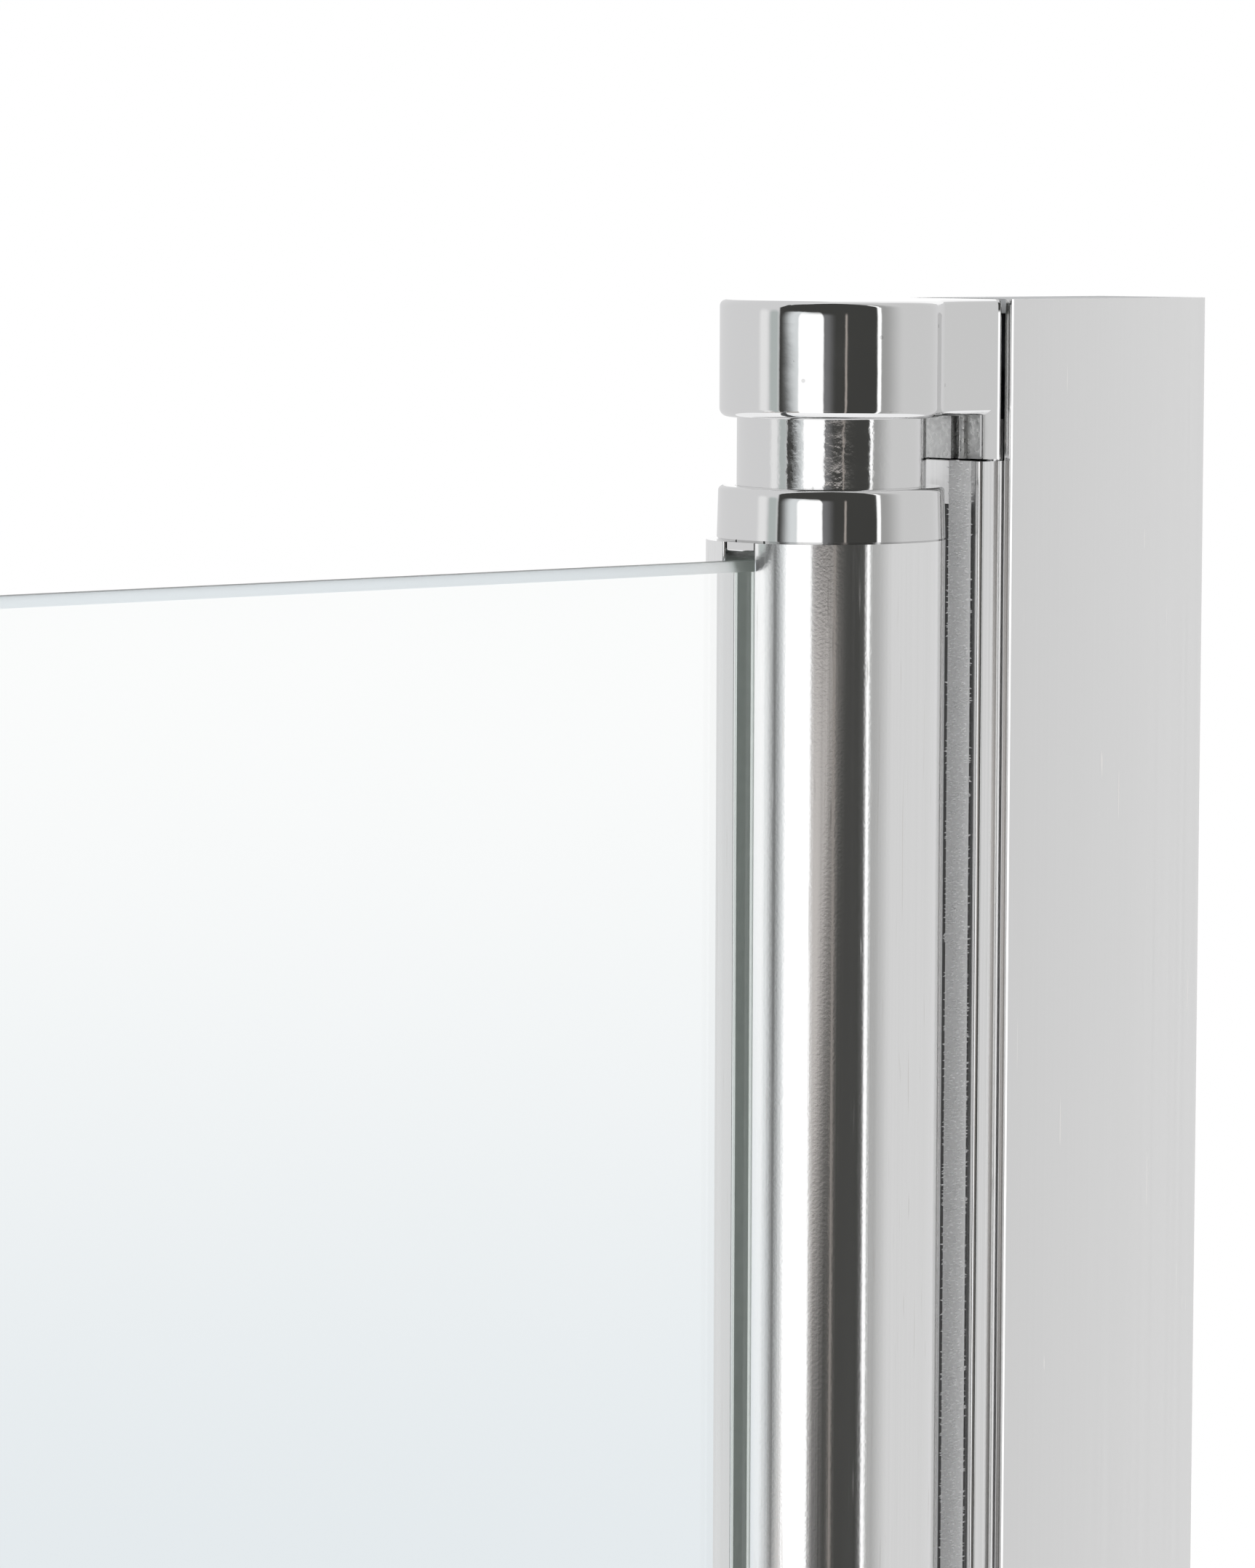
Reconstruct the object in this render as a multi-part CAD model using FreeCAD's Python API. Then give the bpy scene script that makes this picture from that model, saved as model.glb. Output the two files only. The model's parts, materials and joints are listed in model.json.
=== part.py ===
import FreeCAD, Part
import math
import os

# Pivoting bath screen with a rising hinge, in millimetres, +Z up.
# X = 0 is the wall, the glass runs towards -X, the front is -Y and Z = 0 is the bath rim.
# Hinge parts are drawn round an axis at X = 0 and moved to the pivot afterwards.

Vec = FreeCAD.Vector
UP = Vec(0, 0, 1)

# Overall size
screen_height = 1400.0
screen_width = 800.0

# Wall profile, a U channel with its back on the wall
rail_depth = 39.5
rail_half_width = 10.0
rail_wall = 1.1
rail_web = 1.6
rail_rib_width = 2.0
rail_rib_inset = 1.0
wall_hole_radius = 2.75
wall_hole_inset = 80.0
wall_hole_count = 4
plug_plate = 2.0
plug_leg = 8.0
plug_leg_wall = 1.6
plug_side_gap = 0.05

# Adjusting profile, telescoping in the wall profile
adjust_travel = 15.0
head_gap = 4.3
head_show = 4.4
head_side = 2.2
head_plate = 2.2
head_round = 0.9
head_side_gap = 0.05
leg_wall = 1.3
leg_side_gap = 0.5
leg_back_gap = 6.4
rib_gap = 0.15
frame_port_inset = 9.5
frame_port_bore = 1.75
frame_port_wall = 1.25
frame_port_bite = 0.8
port_slit = 1.4
stop_gap = 0.1

# Pile strips in the head of the adjusting profile
pile_width = 4.1
pile_offset = 2.9
pile_proud = 0.8
pile_seat = 0.8

# Lock screws through slots in the rear flange
lock_count = 3
lock_end_distance = 150.0
lock_from_wall = 14.0
lock_shank = 1.7
lock_slot_gap = 0.5
lock_head_radius = 3.6
lock_head_height = 2.0
lock_length = 9.0
lock_cover_wall = 1.0
lock_cover_gap = 0.2

# Hinge tube and its glass slot
tube_radius = 15.7
tube_wall = 1.7
jaw_reach = 2.1
jaw_wall = 2.05
jaw_blend = 2.5
jaw_tip_round = 0.2
pocket_wall = 1.7
tube_port_bore = 1.3
tube_port_wall = 1.3
tube_port_angle = 52.0
tube_port_web = 1.6

# Glass leaf
glass_thickness = 5.0
glass_arris = 1.4
glass_setback = 2.45
glass_edge_gap = 0.3
glass_top_corner = 100.0
glass_low_corner = 6.0
gasket_thickness = 0.45
gasket_mouth_inset = 0.5

# Rising hinge: the leaf climbs as it swings
swing_degrees = 90.0
lift = 5.0
cam_starts = 3
cam_face_degrees = 2.0
cam_clearance = 0.25
cam_root_step = 0.1
fixed_cam_base = 1.5
moving_cam_base = 1.5
cam_width = 2.9
cam_bore_gap = 0.4
fixed_cam_side_gap = 0.1
moving_cam_side_gap = 0.4
cam_peg_radius = 0.75
cam_peg_length = 1.2
cam_peg_gap = 0.05

# Brackets, necks, bushes and spindles
bracket_height = 16.0
boss_inset = 0.3
arm_side_gap = 0.0
arm_blend = 4.5
arm_rebate = 1.9
bracket_top_round = 0.9
bracket_low_round = 1.2
leg_plate = 3.0
leg_edge_round = 1.2
leg_drop = 6.1
leg_end_gap = 0.3
arm_pocket_depth = 11.0
arm_pocket_wall = 1.6
arm_pocket_boss_wall = 1.2
plate_rib_radius = 0.8
plate_rib_offset = 4.2
plate_pad_half = 3.1
tongue_length = 18.0
tongue_side_gap = 0.2
tongue_thickness = 5.8
neck_rim = 2.5
neck_wall = 2.6
neck_overlap = 0.3
neck_end_gap = 0.2
spigot_step = 1.2
spigot_length = 8.0
journal_clearance = 0.05
journal_below_floor = 0.5
bush_wall = 1.5
bush_flange = 2.0
bush_flange_thickness = 1.0
spindle_head = 3.0
spindle_head_thickness = 2.0
spindle_end_play = 0.1
spindle_top_gap = 0.4
hex_across_flats = 8.0
hex_clearance = 0.08
hex_engage = 13.0

# Caps that close the hinge tube
cap_draft = 0.2
cap_floor = 1.8
cap_round = 0.7
cap_shadow = 0.25
cap_well_gap = 0.3
slot_tab_height = 1.3
slot_tab_inset = 0.8
slot_tab_side_gap = 0.3
slot_tab_round = 0.4
plug_depth = 14.0
plug_gap = 0.1
plug_back_wall = 2.12

# Countersunk screws
screw_head_radius = 2.75
screw_head_height = 1.4
screw_port_gap = 0.05
screw_hole_gap = 0.35
screw_head_gap = 0.1
screw_head_margin = 0.75
cap_screw_length = 14.0
bracket_screw_length = 20.0

# Seal along the foot of the glass
seal_wall = 1.0
seal_grip = 12.0
seal_floor = 1.6
seal_fin = 0.9
seal_fin_spread = 4.5
seal_rim_gap = 3.0
seal_hinge_gap = 3.0
seal_free_inset = 12.0

# Places that follow from the sizes above
rail_inner_half = rail_half_width - rail_wall
head_face = tube_radius + head_gap
arm_reach = head_face + head_show
pivot_to_wall = arm_reach + stop_gap + rail_depth
rail_lip = pivot_to_wall - rail_depth
head_half = rail_inner_half - head_side_gap
leg_half = rail_inner_half - leg_side_gap
leg_inner_half = leg_half - leg_wall
leg_end = pivot_to_wall - rail_web - leg_back_gap
frame_port_radius = frame_port_bore + frame_port_wall
frame_port_x = rail_lip + frame_port_inset
frame_port_y = leg_inner_half - frame_port_radius + frame_port_bite
lock_x = pivot_to_wall - lock_from_wall

jaw_tip = tube_radius + jaw_reach
slot_half = glass_thickness / 2 + gasket_thickness
jaw_half = slot_half + jaw_wall
pocket_end = hex_across_flats / 2 + hex_clearance + plug_back_wall + plug_gap
slot_end = pocket_end + pocket_wall
pocket_half = slot_half + pocket_wall
chamber_radius = tube_radius - tube_wall
glass_edge = slot_end + glass_edge_gap

cam_sector = 360.0 / cam_starts
cam_ramp = lift * cam_sector / swing_degrees
cam_stack = fixed_cam_base + cam_ramp + cam_clearance + moving_cam_base
neck_length = cam_stack - neck_end_gap
top_show = neck_length - neck_overlap
well_depth = neck_overlap + lift + neck_end_gap
bottom_show = top_show - lift
cap_height = well_depth + cap_floor

boss_radius = tube_radius - boss_inset
arm_half = rail_inner_half - arm_side_gap
neck_radius = tube_radius - cap_draft - neck_rim
neck_cavity = neck_radius - neck_wall
spigot_radius = neck_cavity + spigot_step
cam_bore = neck_cavity - fixed_cam_side_gap - cam_width
journal_radius = cam_bore - cam_bore_gap
bush_bore = journal_radius + journal_clearance
bush_radius = bush_bore + bush_wall
head_seat = spigot_length + bush_flange_thickness
bore_depth = head_seat + spindle_end_play + spindle_head_thickness + spindle_top_gap
well_radius = neck_radius + cap_well_gap
hex_end = top_show + well_depth + hex_engage
fixed_peg_circle = (bush_radius + neck_cavity - fixed_cam_side_gap) / 2
moving_peg_circle = (cam_bore + neck_cavity - moving_cam_side_gap) / 2
tube_port_radius = tube_port_bore + tube_port_wall
tube_port_reach = well_radius - screw_head_radius - screw_head_margin

bracket_face_top = screen_height - bracket_height
cap_top = bracket_face_top - top_show
tube_top = cap_top - cap_height
cap_bottom = bracket_height + bottom_show
tube_bottom = cap_bottom + cap_height
glass_top = tube_top - glass_setback
glass_bottom = tube_bottom + glass_setback
glass_free_edge = screen_width - pivot_to_wall
frame_end = bracket_height + leg_drop + leg_end_gap


def cylinder(radius, z0, z1, x=0.0, y=0.0):
    return Part.makeCylinder(radius, z1 - z0, Vec(x, y, z0), UP)


def ring(outer, inner, z0, z1):
    return cylinder(outer, z0, z1).cut(cylinder(inner, z0, z1))


def block(x0, x1, y0, y1, z0, z1):
    return Part.makeBox(x1 - x0, y1 - y0, z1 - z0, Vec(x0, y0, z0))


def polar(radius, degrees, x=0.0, y=0.0):
    turn = math.radians(degrees)
    return Vec(x + radius * math.cos(turn), y + radius * math.sin(turn), 0)


def line(start, end):
    return Part.LineSegment(start, end).toShape()


def arc(x, y, radius, start, end):
    middle = (start + end) / 2
    points = [polar(radius, turn, x, y) for turn in (start, middle, end)]
    return Part.Arc(*points).toShape()


def prism(edges, z0, z1):
    """A solid with the outline of the edges, which are drawn at Z = 0."""
    face = Part.Face(Part.Wire(edges))
    solid = face.extrude(Vec(0, 0, z1 - z0))
    solid.translate(Vec(0, 0, z0))
    return solid


def polygon(points):
    return Part.Face(Part.makePolygon(points + [points[0]]))


def edges_at(shape, height):
    """The edges of a shape that lie flat at one height."""
    box = [(edge, edge.BoundBox) for edge in shape.Edges]
    return [edge for edge, b in box if abs(b.ZMin - height) < 1e-6 and abs(b.ZMax - height) < 1e-6]


def upright_edges(shape, x, y):
    """The long vertical edges of a shape that stand at one place."""
    found = []
    for edge in shape.Edges:
        b = edge.BoundBox
        if abs(b.XMin - x) + abs(b.XMax - x) + abs(b.YMin - y) + abs(b.YMax - y) < 1e-6:
            found.append(edge)
    return found


def hexagon(across_flats, z0, z1):
    corner = across_flats / math.sqrt(3)
    points = [polar(corner, 60 * i + 30) for i in range(7)]
    return prism([line(points[i], points[i + 1]) for i in range(6)], z0, z1)


def fused(first, *others):
    return first.fuse(list(others)).removeSplitter()


def at_pivot(shape, z=0.0):
    moved = shape.copy()
    moved.translate(Vec(-pivot_to_wall, 0, z))
    return moved


def at_top(shape, z):
    """Places a hinge part, drawn with its reference plane at Z = 0, at the top end."""
    return at_pivot(shape, z)


def at_bottom(shape, z):
    """Turns a hinge part over about X for the bottom end."""
    turned = shape.copy()
    turned.rotate(Vec(0, 0, 0), Vec(1, 0, 0), 180)
    return at_pivot(turned, z)


def countersunk_screw(shank, length):
    """A screw with the top of its head at Z = 0, pointing down."""
    head = Part.makeCone(shank, screw_head_radius, screw_head_height, Vec(0, 0, -screw_head_height), UP)
    return fused(head, cylinder(shank, -length, -screw_head_height))


def countersunk_hole(shank, depth):
    top = screw_head_radius + screw_head_gap
    low = shank + screw_head_gap
    height = screw_head_height + screw_head_gap
    head = Part.makeCone(low, top, height, Vec(0, 0, -height), UP)
    return fused(head, cylinder(shank + screw_hole_gap, -depth, 0))


def wall_hole_heights():
    step = (screen_height - 2 * wall_hole_inset) / (wall_hole_count - 1)
    return [wall_hole_inset + step * i for i in range(wall_hole_count)]


def lock_heights():
    step = (screen_height - 2 * lock_end_distance) / (lock_count - 1)
    return [lock_end_distance + step * i for i in range(lock_count)]


def wall_profile():
    """U channel with rounded lips, guide ribs, wall screw holes and lock slots in the rear flange."""
    height = screen_height
    solid = block(-rail_depth, 0, -rail_half_width, rail_half_width, 0, height)
    hollow = block(-rail_depth - 1, -rail_web, -rail_inner_half, rail_inner_half, -1, height + 1)
    solid = solid.cut(hollow)
    lips = []
    for y in (-rail_half_width, -rail_inner_half, rail_inner_half, rail_half_width):
        lips += upright_edges(solid, -rail_depth, y)
    solid = solid.makeFillet(0.32 * rail_wall, lips)
    rib_start = -rail_depth + rail_rib_inset
    rib_reach = leg_half + rib_gap
    for side in (-1, 1):
        y0, y1 = sorted((side * rib_reach, side * (rail_inner_half + rail_wall / 2)))
        solid = solid.fuse(block(rib_start, rib_start + rail_rib_width, y0, y1, 0, height))
    solid = solid.removeSplitter()
    for z in wall_hole_heights():
        hole = Part.makeCylinder(wall_hole_radius, rail_web + 2, Vec(-rail_web - 1, 0, z), Vec(1, 0, 0))
        solid = solid.cut(hole)
    slot_radius = lock_shank + lock_slot_gap
    for z in lock_heights():
        near = -lock_from_wall
        far = near - adjust_travel
        y0 = rail_inner_half - 1
        depth = rail_wall + 2
        ends = [Part.makeCylinder(slot_radius, depth, Vec(x, y0, z), Vec(0, 1, 0)) for x in (near, far)]
        middle = block(far, near, y0, y0 + depth, z - slot_radius, z + slot_radius)
        solid = solid.cut(fused(middle, *ends))
    return solid


def end_plug():
    """Plastic plug for the open end of the wall profile, top face at Z = 0, two sprung legs below."""
    half = rail_inner_half - plug_side_gap
    x0 = -rail_depth + rail_rib_inset + rail_rib_width + plug_side_gap
    x1 = -rail_web - plug_side_gap
    plug = block(x0, x1, -half, half, -plug_plate, 0)
    for side in (-1, 1):
        y0, y1 = sorted((side * (half - plug_leg_wall), side * half))
        plug = plug.fuse(block(x0, x1, y0, y1, -plug_plate - plug_leg, -plug_plate))
    return plug.removeSplitter()


def adjusting_profile():
    """Extrusion with a grooved head beside the hinge tube, two legs and two screw ports."""
    z0, z1 = frame_end, screen_height - frame_end
    head_end = head_face + head_side
    solid = block(head_face, head_end, -head_half, head_half, z0, z1)
    corners = upright_edges(solid, head_face, -head_half) + upright_edges(solid, head_face, head_half)
    solid = solid.makeFillet(head_round, corners)
    solid = solid.fuse(block(head_end - 0.5, leg_end, -leg_half, leg_half, z0, z1))
    hollow = block(head_face + head_plate, leg_end + 1, -leg_inner_half, leg_inner_half, z0, z1)
    solid = solid.cut(hollow)
    for side in (-1, 1):
        y0, y1 = sorted((side * pile_offset, side * (pile_offset + pile_width)))
        solid = solid.cut(block(head_face - 1, head_face + pile_seat, y0, y1, z0, z1))
        y = side * frame_port_y
        solid = solid.fuse(cylinder(frame_port_radius, z0, z1, frame_port_x, y))
        solid = solid.cut(cylinder(frame_port_bore, z0, z1, frame_port_x, y))
        y0, y1 = sorted((0.0, y))
        slit = block(frame_port_x - port_slit / 2, frame_port_x + port_slit / 2, y0, y1, z0, z1)
        solid = solid.cut(slit)
    for z in lock_heights():
        start = Vec(lock_x, leg_inner_half - 1, z)
        solid = solid.cut(Part.makeCylinder(lock_shank, leg_wall + 2, start, Vec(0, 1, 0)))
    return solid.removeSplitter()


def pile_seals():
    """Two pile strips, seated in the grooves of the adjusting profile's head."""
    strips = []
    for side in (-1, 1):
        y0, y1 = sorted((side * pile_offset, side * (pile_offset + pile_width)))
        x0 = head_face - pile_proud
        strips.append(block(x0, head_face + pile_seat, y0, y1, frame_end, screen_height - frame_end))
    return Part.makeCompound(strips)


def lock_screw(z):
    """Pan head screw through the rear slot into the leg of the adjusting profile."""
    seat = rail_half_width + lock_cover_gap
    shank = Part.makeCylinder(lock_shank, lock_length, Vec(lock_x, seat - lock_length, z), Vec(0, 1, 0))
    head = Part.makeCylinder(lock_head_radius, lock_head_height, Vec(lock_x, seat, z), Vec(0, 1, 0))
    rim = [edge for edge in head.Edges if edge.BoundBox.YMin > seat + lock_head_height - 1e-6]
    head = head.makeFillet(0.35 * lock_head_height, rim)
    return fused(head, shank)


def lock_cover(z):
    """Domed cap that snaps over a lock screw's head."""
    seat = rail_half_width + lock_cover_gap
    inner = lock_head_radius
    outer = inner + lock_cover_wall
    height = lock_head_height + lock_cover_wall
    dome = Part.makeCylinder(outer, height, Vec(lock_x, seat, z), Vec(0, 1, 0))
    rim = [edge for edge in dome.Edges if edge.BoundBox.YMin > seat + height - 1e-6]
    dome = dome.makeFillet(0.7 * lock_cover_wall, rim)
    return dome.cut(Part.makeCylinder(inner, lock_head_height, Vec(lock_x, seat, z), Vec(0, 1, 0)))


def bracket_outline():
    """Round boss blended into a flat arm with a square end."""
    blend_x = math.sqrt((boss_radius + arm_blend) ** 2 - (arm_half + arm_blend) ** 2)
    lean = math.degrees(math.atan2(arm_half + arm_blend, blend_x))
    return [
        arc(0, 0, boss_radius, lean, 360 - lean),
        arc(blend_x, -arm_half - arm_blend, arm_blend, 180 - lean, 90),
        line(Vec(blend_x, -arm_half, 0), Vec(arm_reach, -arm_half, 0)),
        line(Vec(arm_reach, -arm_half, 0), Vec(arm_reach, arm_half, 0)),
        line(Vec(arm_reach, arm_half, 0), Vec(blend_x, arm_half, 0)),
        arc(blend_x, arm_half + arm_blend, arm_blend, -90, lean - 180),
    ]


def plate_outline():
    """End plate of the arm, with rounded edges towards the hinge."""
    start, turn = arm_reach - leg_plate, leg_edge_round
    return [
        line(Vec(start + turn, -arm_half, 0), Vec(arm_reach, -arm_half, 0)),
        line(Vec(arm_reach, -arm_half, 0), Vec(arm_reach, arm_half, 0)),
        line(Vec(arm_reach, arm_half, 0), Vec(start + turn, arm_half, 0)),
        arc(start + turn, arm_half - turn, turn, 90, 180),
        line(Vec(start, arm_half - turn, 0), Vec(start, turn - arm_half, 0)),
        arc(start + turn, turn - arm_half, turn, 180, 270),
    ]


def bracket():
    """Die-cast bracket, lower face at Z = 0: bored boss, hollow arm, end plate and tongue for the frame."""
    solid = prism(bracket_outline(), 0, bracket_height)
    solid = solid.makeFillet(bracket_top_round, edges_at(solid, bracket_height))
    solid = solid.makeFillet(bracket_low_round, edges_at(solid, 0))
    plate_inner = arm_reach - leg_plate
    solid = solid.fuse(prism(plate_outline(), -leg_drop, 2 * bracket_low_round))
    for side in (-1, 1):
        y0, y1 = sorted((side * leg_half, side * (arm_half + 1)))
        rebate = block(arm_reach - arm_rebate, arm_reach + 1, y0, y1, -leg_drop - 1, bracket_height + 1)
        solid = solid.cut(rebate)
    tongue_low = -leg_drop - leg_end_gap
    tongue_half = leg_half - tongue_side_gap
    tongue_end = rail_lip + tongue_length
    tongue = block(arm_reach - leg_plate / 2, tongue_end, -tongue_half, tongue_half,
                   tongue_low, tongue_low + tongue_thickness)
    solid = solid.fuse(tongue)
    pocket_half_width = arm_half - arm_pocket_wall
    pocket = block(boss_radius + arm_pocket_boss_wall, plate_inner,
                   -pocket_half_width, pocket_half_width, -1, arm_pocket_depth)
    solid = solid.cut(pocket)
    solid = solid.cut(cylinder(spigot_radius, -1, bore_depth))
    pad = block(head_face, plate_inner, -plate_pad_half, plate_pad_half, -leg_drop, arm_pocket_depth)
    ribs = [cylinder(plate_rib_radius, -leg_drop, arm_pocket_depth, plate_inner, side * plate_rib_offset)
            for side in (-1, 1)]
    solid = solid.fuse([pad] + ribs)
    for side in (-1, 1):
        hole = countersunk_hole(frame_port_bore - screw_port_gap, tongue_thickness + 1)
        hole.translate(Vec(frame_port_x, side * frame_port_y, tongue_low + tongue_thickness))
        solid = solid.cut(hole)
    return solid.removeSplitter()


def bracket_screws():
    """Two screws per bracket, through its tongue into the ports of the adjusting profile."""
    screws = []
    seat = tongue_thickness - leg_drop - leg_end_gap
    for side in (-1, 1):
        screw = countersunk_screw(frame_port_bore - screw_port_gap, bracket_screw_length)
        screw.translate(Vec(frame_port_x, side * frame_port_y, seat))
        screws += [at_top(screw, bracket_face_top), at_bottom(screw, bracket_height)]
    return Part.makeCompound(screws)


def neck():
    """Collar pressed into the bracket, lower face of the bracket at Z = 0, open cup towards the leaf."""
    sleeve = cylinder(neck_radius, -neck_length, 0)
    spigot = cylinder(spigot_radius, 0, spigot_length)
    solid = fused(sleeve, spigot)
    solid = solid.cut(cylinder(neck_cavity, -neck_length - 1, 0))
    solid = solid.cut(cylinder(bush_radius, -1, spigot_length + 1))
    for side in (-1, 1):
        peg_hole = cylinder(cam_peg_radius + cam_peg_gap, -1, cam_peg_length + cam_peg_gap,
                            0, side * fixed_peg_circle)
        solid = solid.cut(peg_hole)
    return solid


def bush():
    """Flanged plain bearing in the bore of a neck."""
    sleeve = cylinder(bush_radius, 0, head_seat)
    flange = cylinder(bush_radius + bush_flange, spigot_length, head_seat)
    return fused(sleeve, flange).cut(cylinder(bush_bore, -1, head_seat + 1))


def spindle():
    """Headed journal that turns in the bush, with a hexagonal shank that slides in the cap."""
    low = head_seat + spindle_end_play
    head = cylinder(journal_radius + spindle_head, low, low + spindle_head_thickness)
    journal = cylinder(journal_radius, -journal_below_floor, low)
    return fused(head, journal, hexagon(hex_across_flats, -hex_end, -journal_below_floor))


def tube_outline():
    """Round column blended into two jaws that point at the glass."""
    blend_y = jaw_half + jaw_blend
    blend_x = math.sqrt((tube_radius + jaw_blend) ** 2 - blend_y ** 2)
    lean = math.degrees(math.atan2(blend_y, blend_x))
    tip, turn = jaw_tip, jaw_tip_round
    return [
        arc(0, 0, tube_radius, lean - 180, 180 - lean),
        arc(-blend_x, blend_y, jaw_blend, -lean, -90),
        line(Vec(-blend_x, jaw_half, 0), Vec(turn - tip, jaw_half, 0)),
        arc(turn - tip, jaw_half - turn, turn, 90, 180),
        line(Vec(-tip, jaw_half - turn, 0), Vec(-tip, turn - jaw_half, 0)),
        arc(turn - tip, turn - jaw_half, turn, 180, 270),
        line(Vec(turn - tip, -jaw_half, 0), Vec(-blend_x, -jaw_half, 0)),
        arc(-blend_x, -blend_y, jaw_blend, 90, lean),
    ]


def port_places():
    return [(side * tube_port_angle, polar(tube_port_reach, side * tube_port_angle)) for side in (-1, 1)]


def chamber(z0, z1, gap):
    """The hollow of the hinge tube beside the glass pocket and the screw ports, drawn in by a gap."""
    hollow = cylinder(chamber_radius - gap, z0, z1)
    pocket = block(-tube_radius, gap - pocket_end, -pocket_half - gap, pocket_half + gap, z0, z1)
    hollow = hollow.cut(pocket)
    for angle, place in port_places():
        web_half = tube_port_web / 2 + gap
        web = block(tube_port_reach, tube_radius, -web_half, web_half, z0, z1)
        web.rotate(Vec(0, 0, 0), UP, angle)
        port = cylinder(tube_port_radius + gap, z0, z1, place.x, place.y)
        hollow = hollow.cut(port.fuse(web))
    return hollow


def hinge_tube():
    """Extruded column with a glass slot, a hollow chamber and two slit screw ports."""
    solid = prism(tube_outline(), tube_bottom, tube_top)
    solid = solid.cut(block(-jaw_tip - 1, -slot_end, -slot_half, slot_half, tube_bottom, tube_top))
    solid = solid.cut(chamber(tube_bottom, tube_top, 0.0))
    for angle, place in port_places():
        solid = solid.cut(cylinder(tube_port_bore, tube_bottom, tube_top, place.x, place.y))
        slit = block(0, tube_port_radius + 1, -port_slit / 2, port_slit / 2, tube_bottom, tube_top)
        slit.rotate(Vec(0, 0, 0), UP, angle + 180)
        slit.translate(place)
        solid = solid.cut(slit)
    return solid


def cap():
    """End cap of the hinge tube, rim at Z = 0: a well for the neck, a floor, a plug and a slot tab below."""
    rim_radius = tube_radius - cap_draft
    shell = Part.makeCone(tube_radius, rim_radius, cap_height, Vec(0, 0, -cap_height), UP)
    shell = shell.makeFillet(cap_round, edges_at(shell, 0))
    shell = shell.makeChamfer(cap_shadow, edges_at(shell, -cap_height))
    shell = shell.cut(cylinder(well_radius, -well_depth, 1))
    tab_half = slot_half - slot_tab_side_gap
    tab_low = -cap_height - slot_tab_height
    tab = block(slot_tab_inset - jaw_tip, -glass_edge, -tab_half, tab_half, tab_low, -cap_height)
    tab = tab.makeFillet(slot_tab_round, edges_at(tab, tab_low))
    solid = fused(shell, tab, chamber(-cap_height - plug_depth, -cap_height, plug_gap))
    solid = solid.cut(hexagon(hex_across_flats + 2 * hex_clearance, -cap_height - plug_depth - 1, 1))
    for angle, place in port_places():
        hole = countersunk_hole(tube_port_bore - screw_port_gap, cap_floor + 1)
        hole.translate(Vec(place.x, place.y, -well_depth))
        solid = solid.cut(hole)
    for side in (-1, 1):
        peg_hole = cylinder(cam_peg_radius + cam_peg_gap, -well_depth - cam_peg_length - cam_peg_gap,
                            -well_depth + 1, 0, side * moving_peg_circle)
        solid = solid.cut(peg_hole)
    return solid.removeSplitter()


def cap_screws():
    screws = []
    for angle, place in port_places():
        screw = countersunk_screw(tube_port_bore - screw_port_gap, cap_screw_length)
        screw.translate(Vec(place.x, place.y, -well_depth))
        screws += [at_top(screw, cap_top), at_bottom(screw, cap_bottom)]
    return Part.makeCompound(screws)


def helical_block(inner, outer, low, high, start, sweep, climb):
    """A block between two radii that climbs steadily as it turns about Z."""
    pitch = climb * 360
    path = Part.Wire(Part.makeHelix(pitch, climb * sweep, (inner + outer) / 2))
    corners = [Vec(inner, 0, low), Vec(outer, 0, low), Vec(outer, 0, high), Vec(inner, 0, high)]
    section = Part.makePolygon(corners + corners[:1])
    solid = path.makePipeShell([section], True, True)
    solid.rotate(Vec(0, 0, 0), UP, start)
    return solid


def cam_tooth(outer, low, high, keep_below, offset):
    """One helical tooth: a sector of a ring, cut to the ramp from above or from below."""
    climb = cam_ramp / cam_sector
    spare = 6.0
    width = cam_sector - cam_face_degrees
    sector = Part.makeCylinder(outer, high - low, Vec(0, 0, low), UP, width)
    sector = sector.cut(cylinder(cam_bore, low, high))
    sector.rotate(Vec(0, 0, 0), UP, 0.0 if keep_below else cam_face_degrees)
    ramp = fixed_cam_base + offset - climb * spare
    tall = high - low + climb * 2 * spare + cam_ramp
    bottom, top = (ramp, ramp + tall) if keep_below else (ramp - tall, ramp)
    cutter = helical_block(cam_bore - 1, outer + 1, bottom, top, -spare, cam_sector + 2 * spare, climb)
    return sector.cut(cutter)


def lift_cam(outer, low, high, base_low, base_high, keep_below, offset):
    base = ring(outer, cam_bore, base_low, base_high)
    tooth = cam_tooth(outer, low, high, keep_below, offset)
    teeth = []
    for i in range(cam_starts):
        turned = tooth.copy()
        turned.rotate(Vec(0, 0, 0), UP, cam_sector * i)
        teeth.append(turned)
    return fused(base, *teeth)


def lift_cam_fixed():
    """Lower half of the rising hinge, three climbing teeth, pegged to the floor of the bottom neck."""
    outer = neck_cavity - fixed_cam_side_gap
    base_high = fixed_cam_base - cam_root_step
    solid = lift_cam(outer, 0, fixed_cam_base + cam_ramp, 0, base_high, True, 0.0)
    pegs = [cylinder(cam_peg_radius, -cam_peg_length, fixed_cam_base / 2, 0, side * fixed_peg_circle)
            for side in (-1, 1)]
    return fused(solid, *pegs)


def lift_cam_moving():
    """Upper half of the rising hinge, in mesh with the lower half when the leaf is closed."""
    outer = neck_cavity - moving_cam_side_gap
    base_low = cam_stack - moving_cam_base + cam_root_step
    solid = lift_cam(outer, fixed_cam_base, cam_stack, base_low, cam_stack, False, cam_clearance)
    pegs = [cylinder(cam_peg_radius, base_low + moving_cam_base / 2, cam_stack + cam_peg_length,
                     0, side * moving_peg_circle) for side in (-1, 1)]
    return fused(solid, *pegs)


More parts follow.
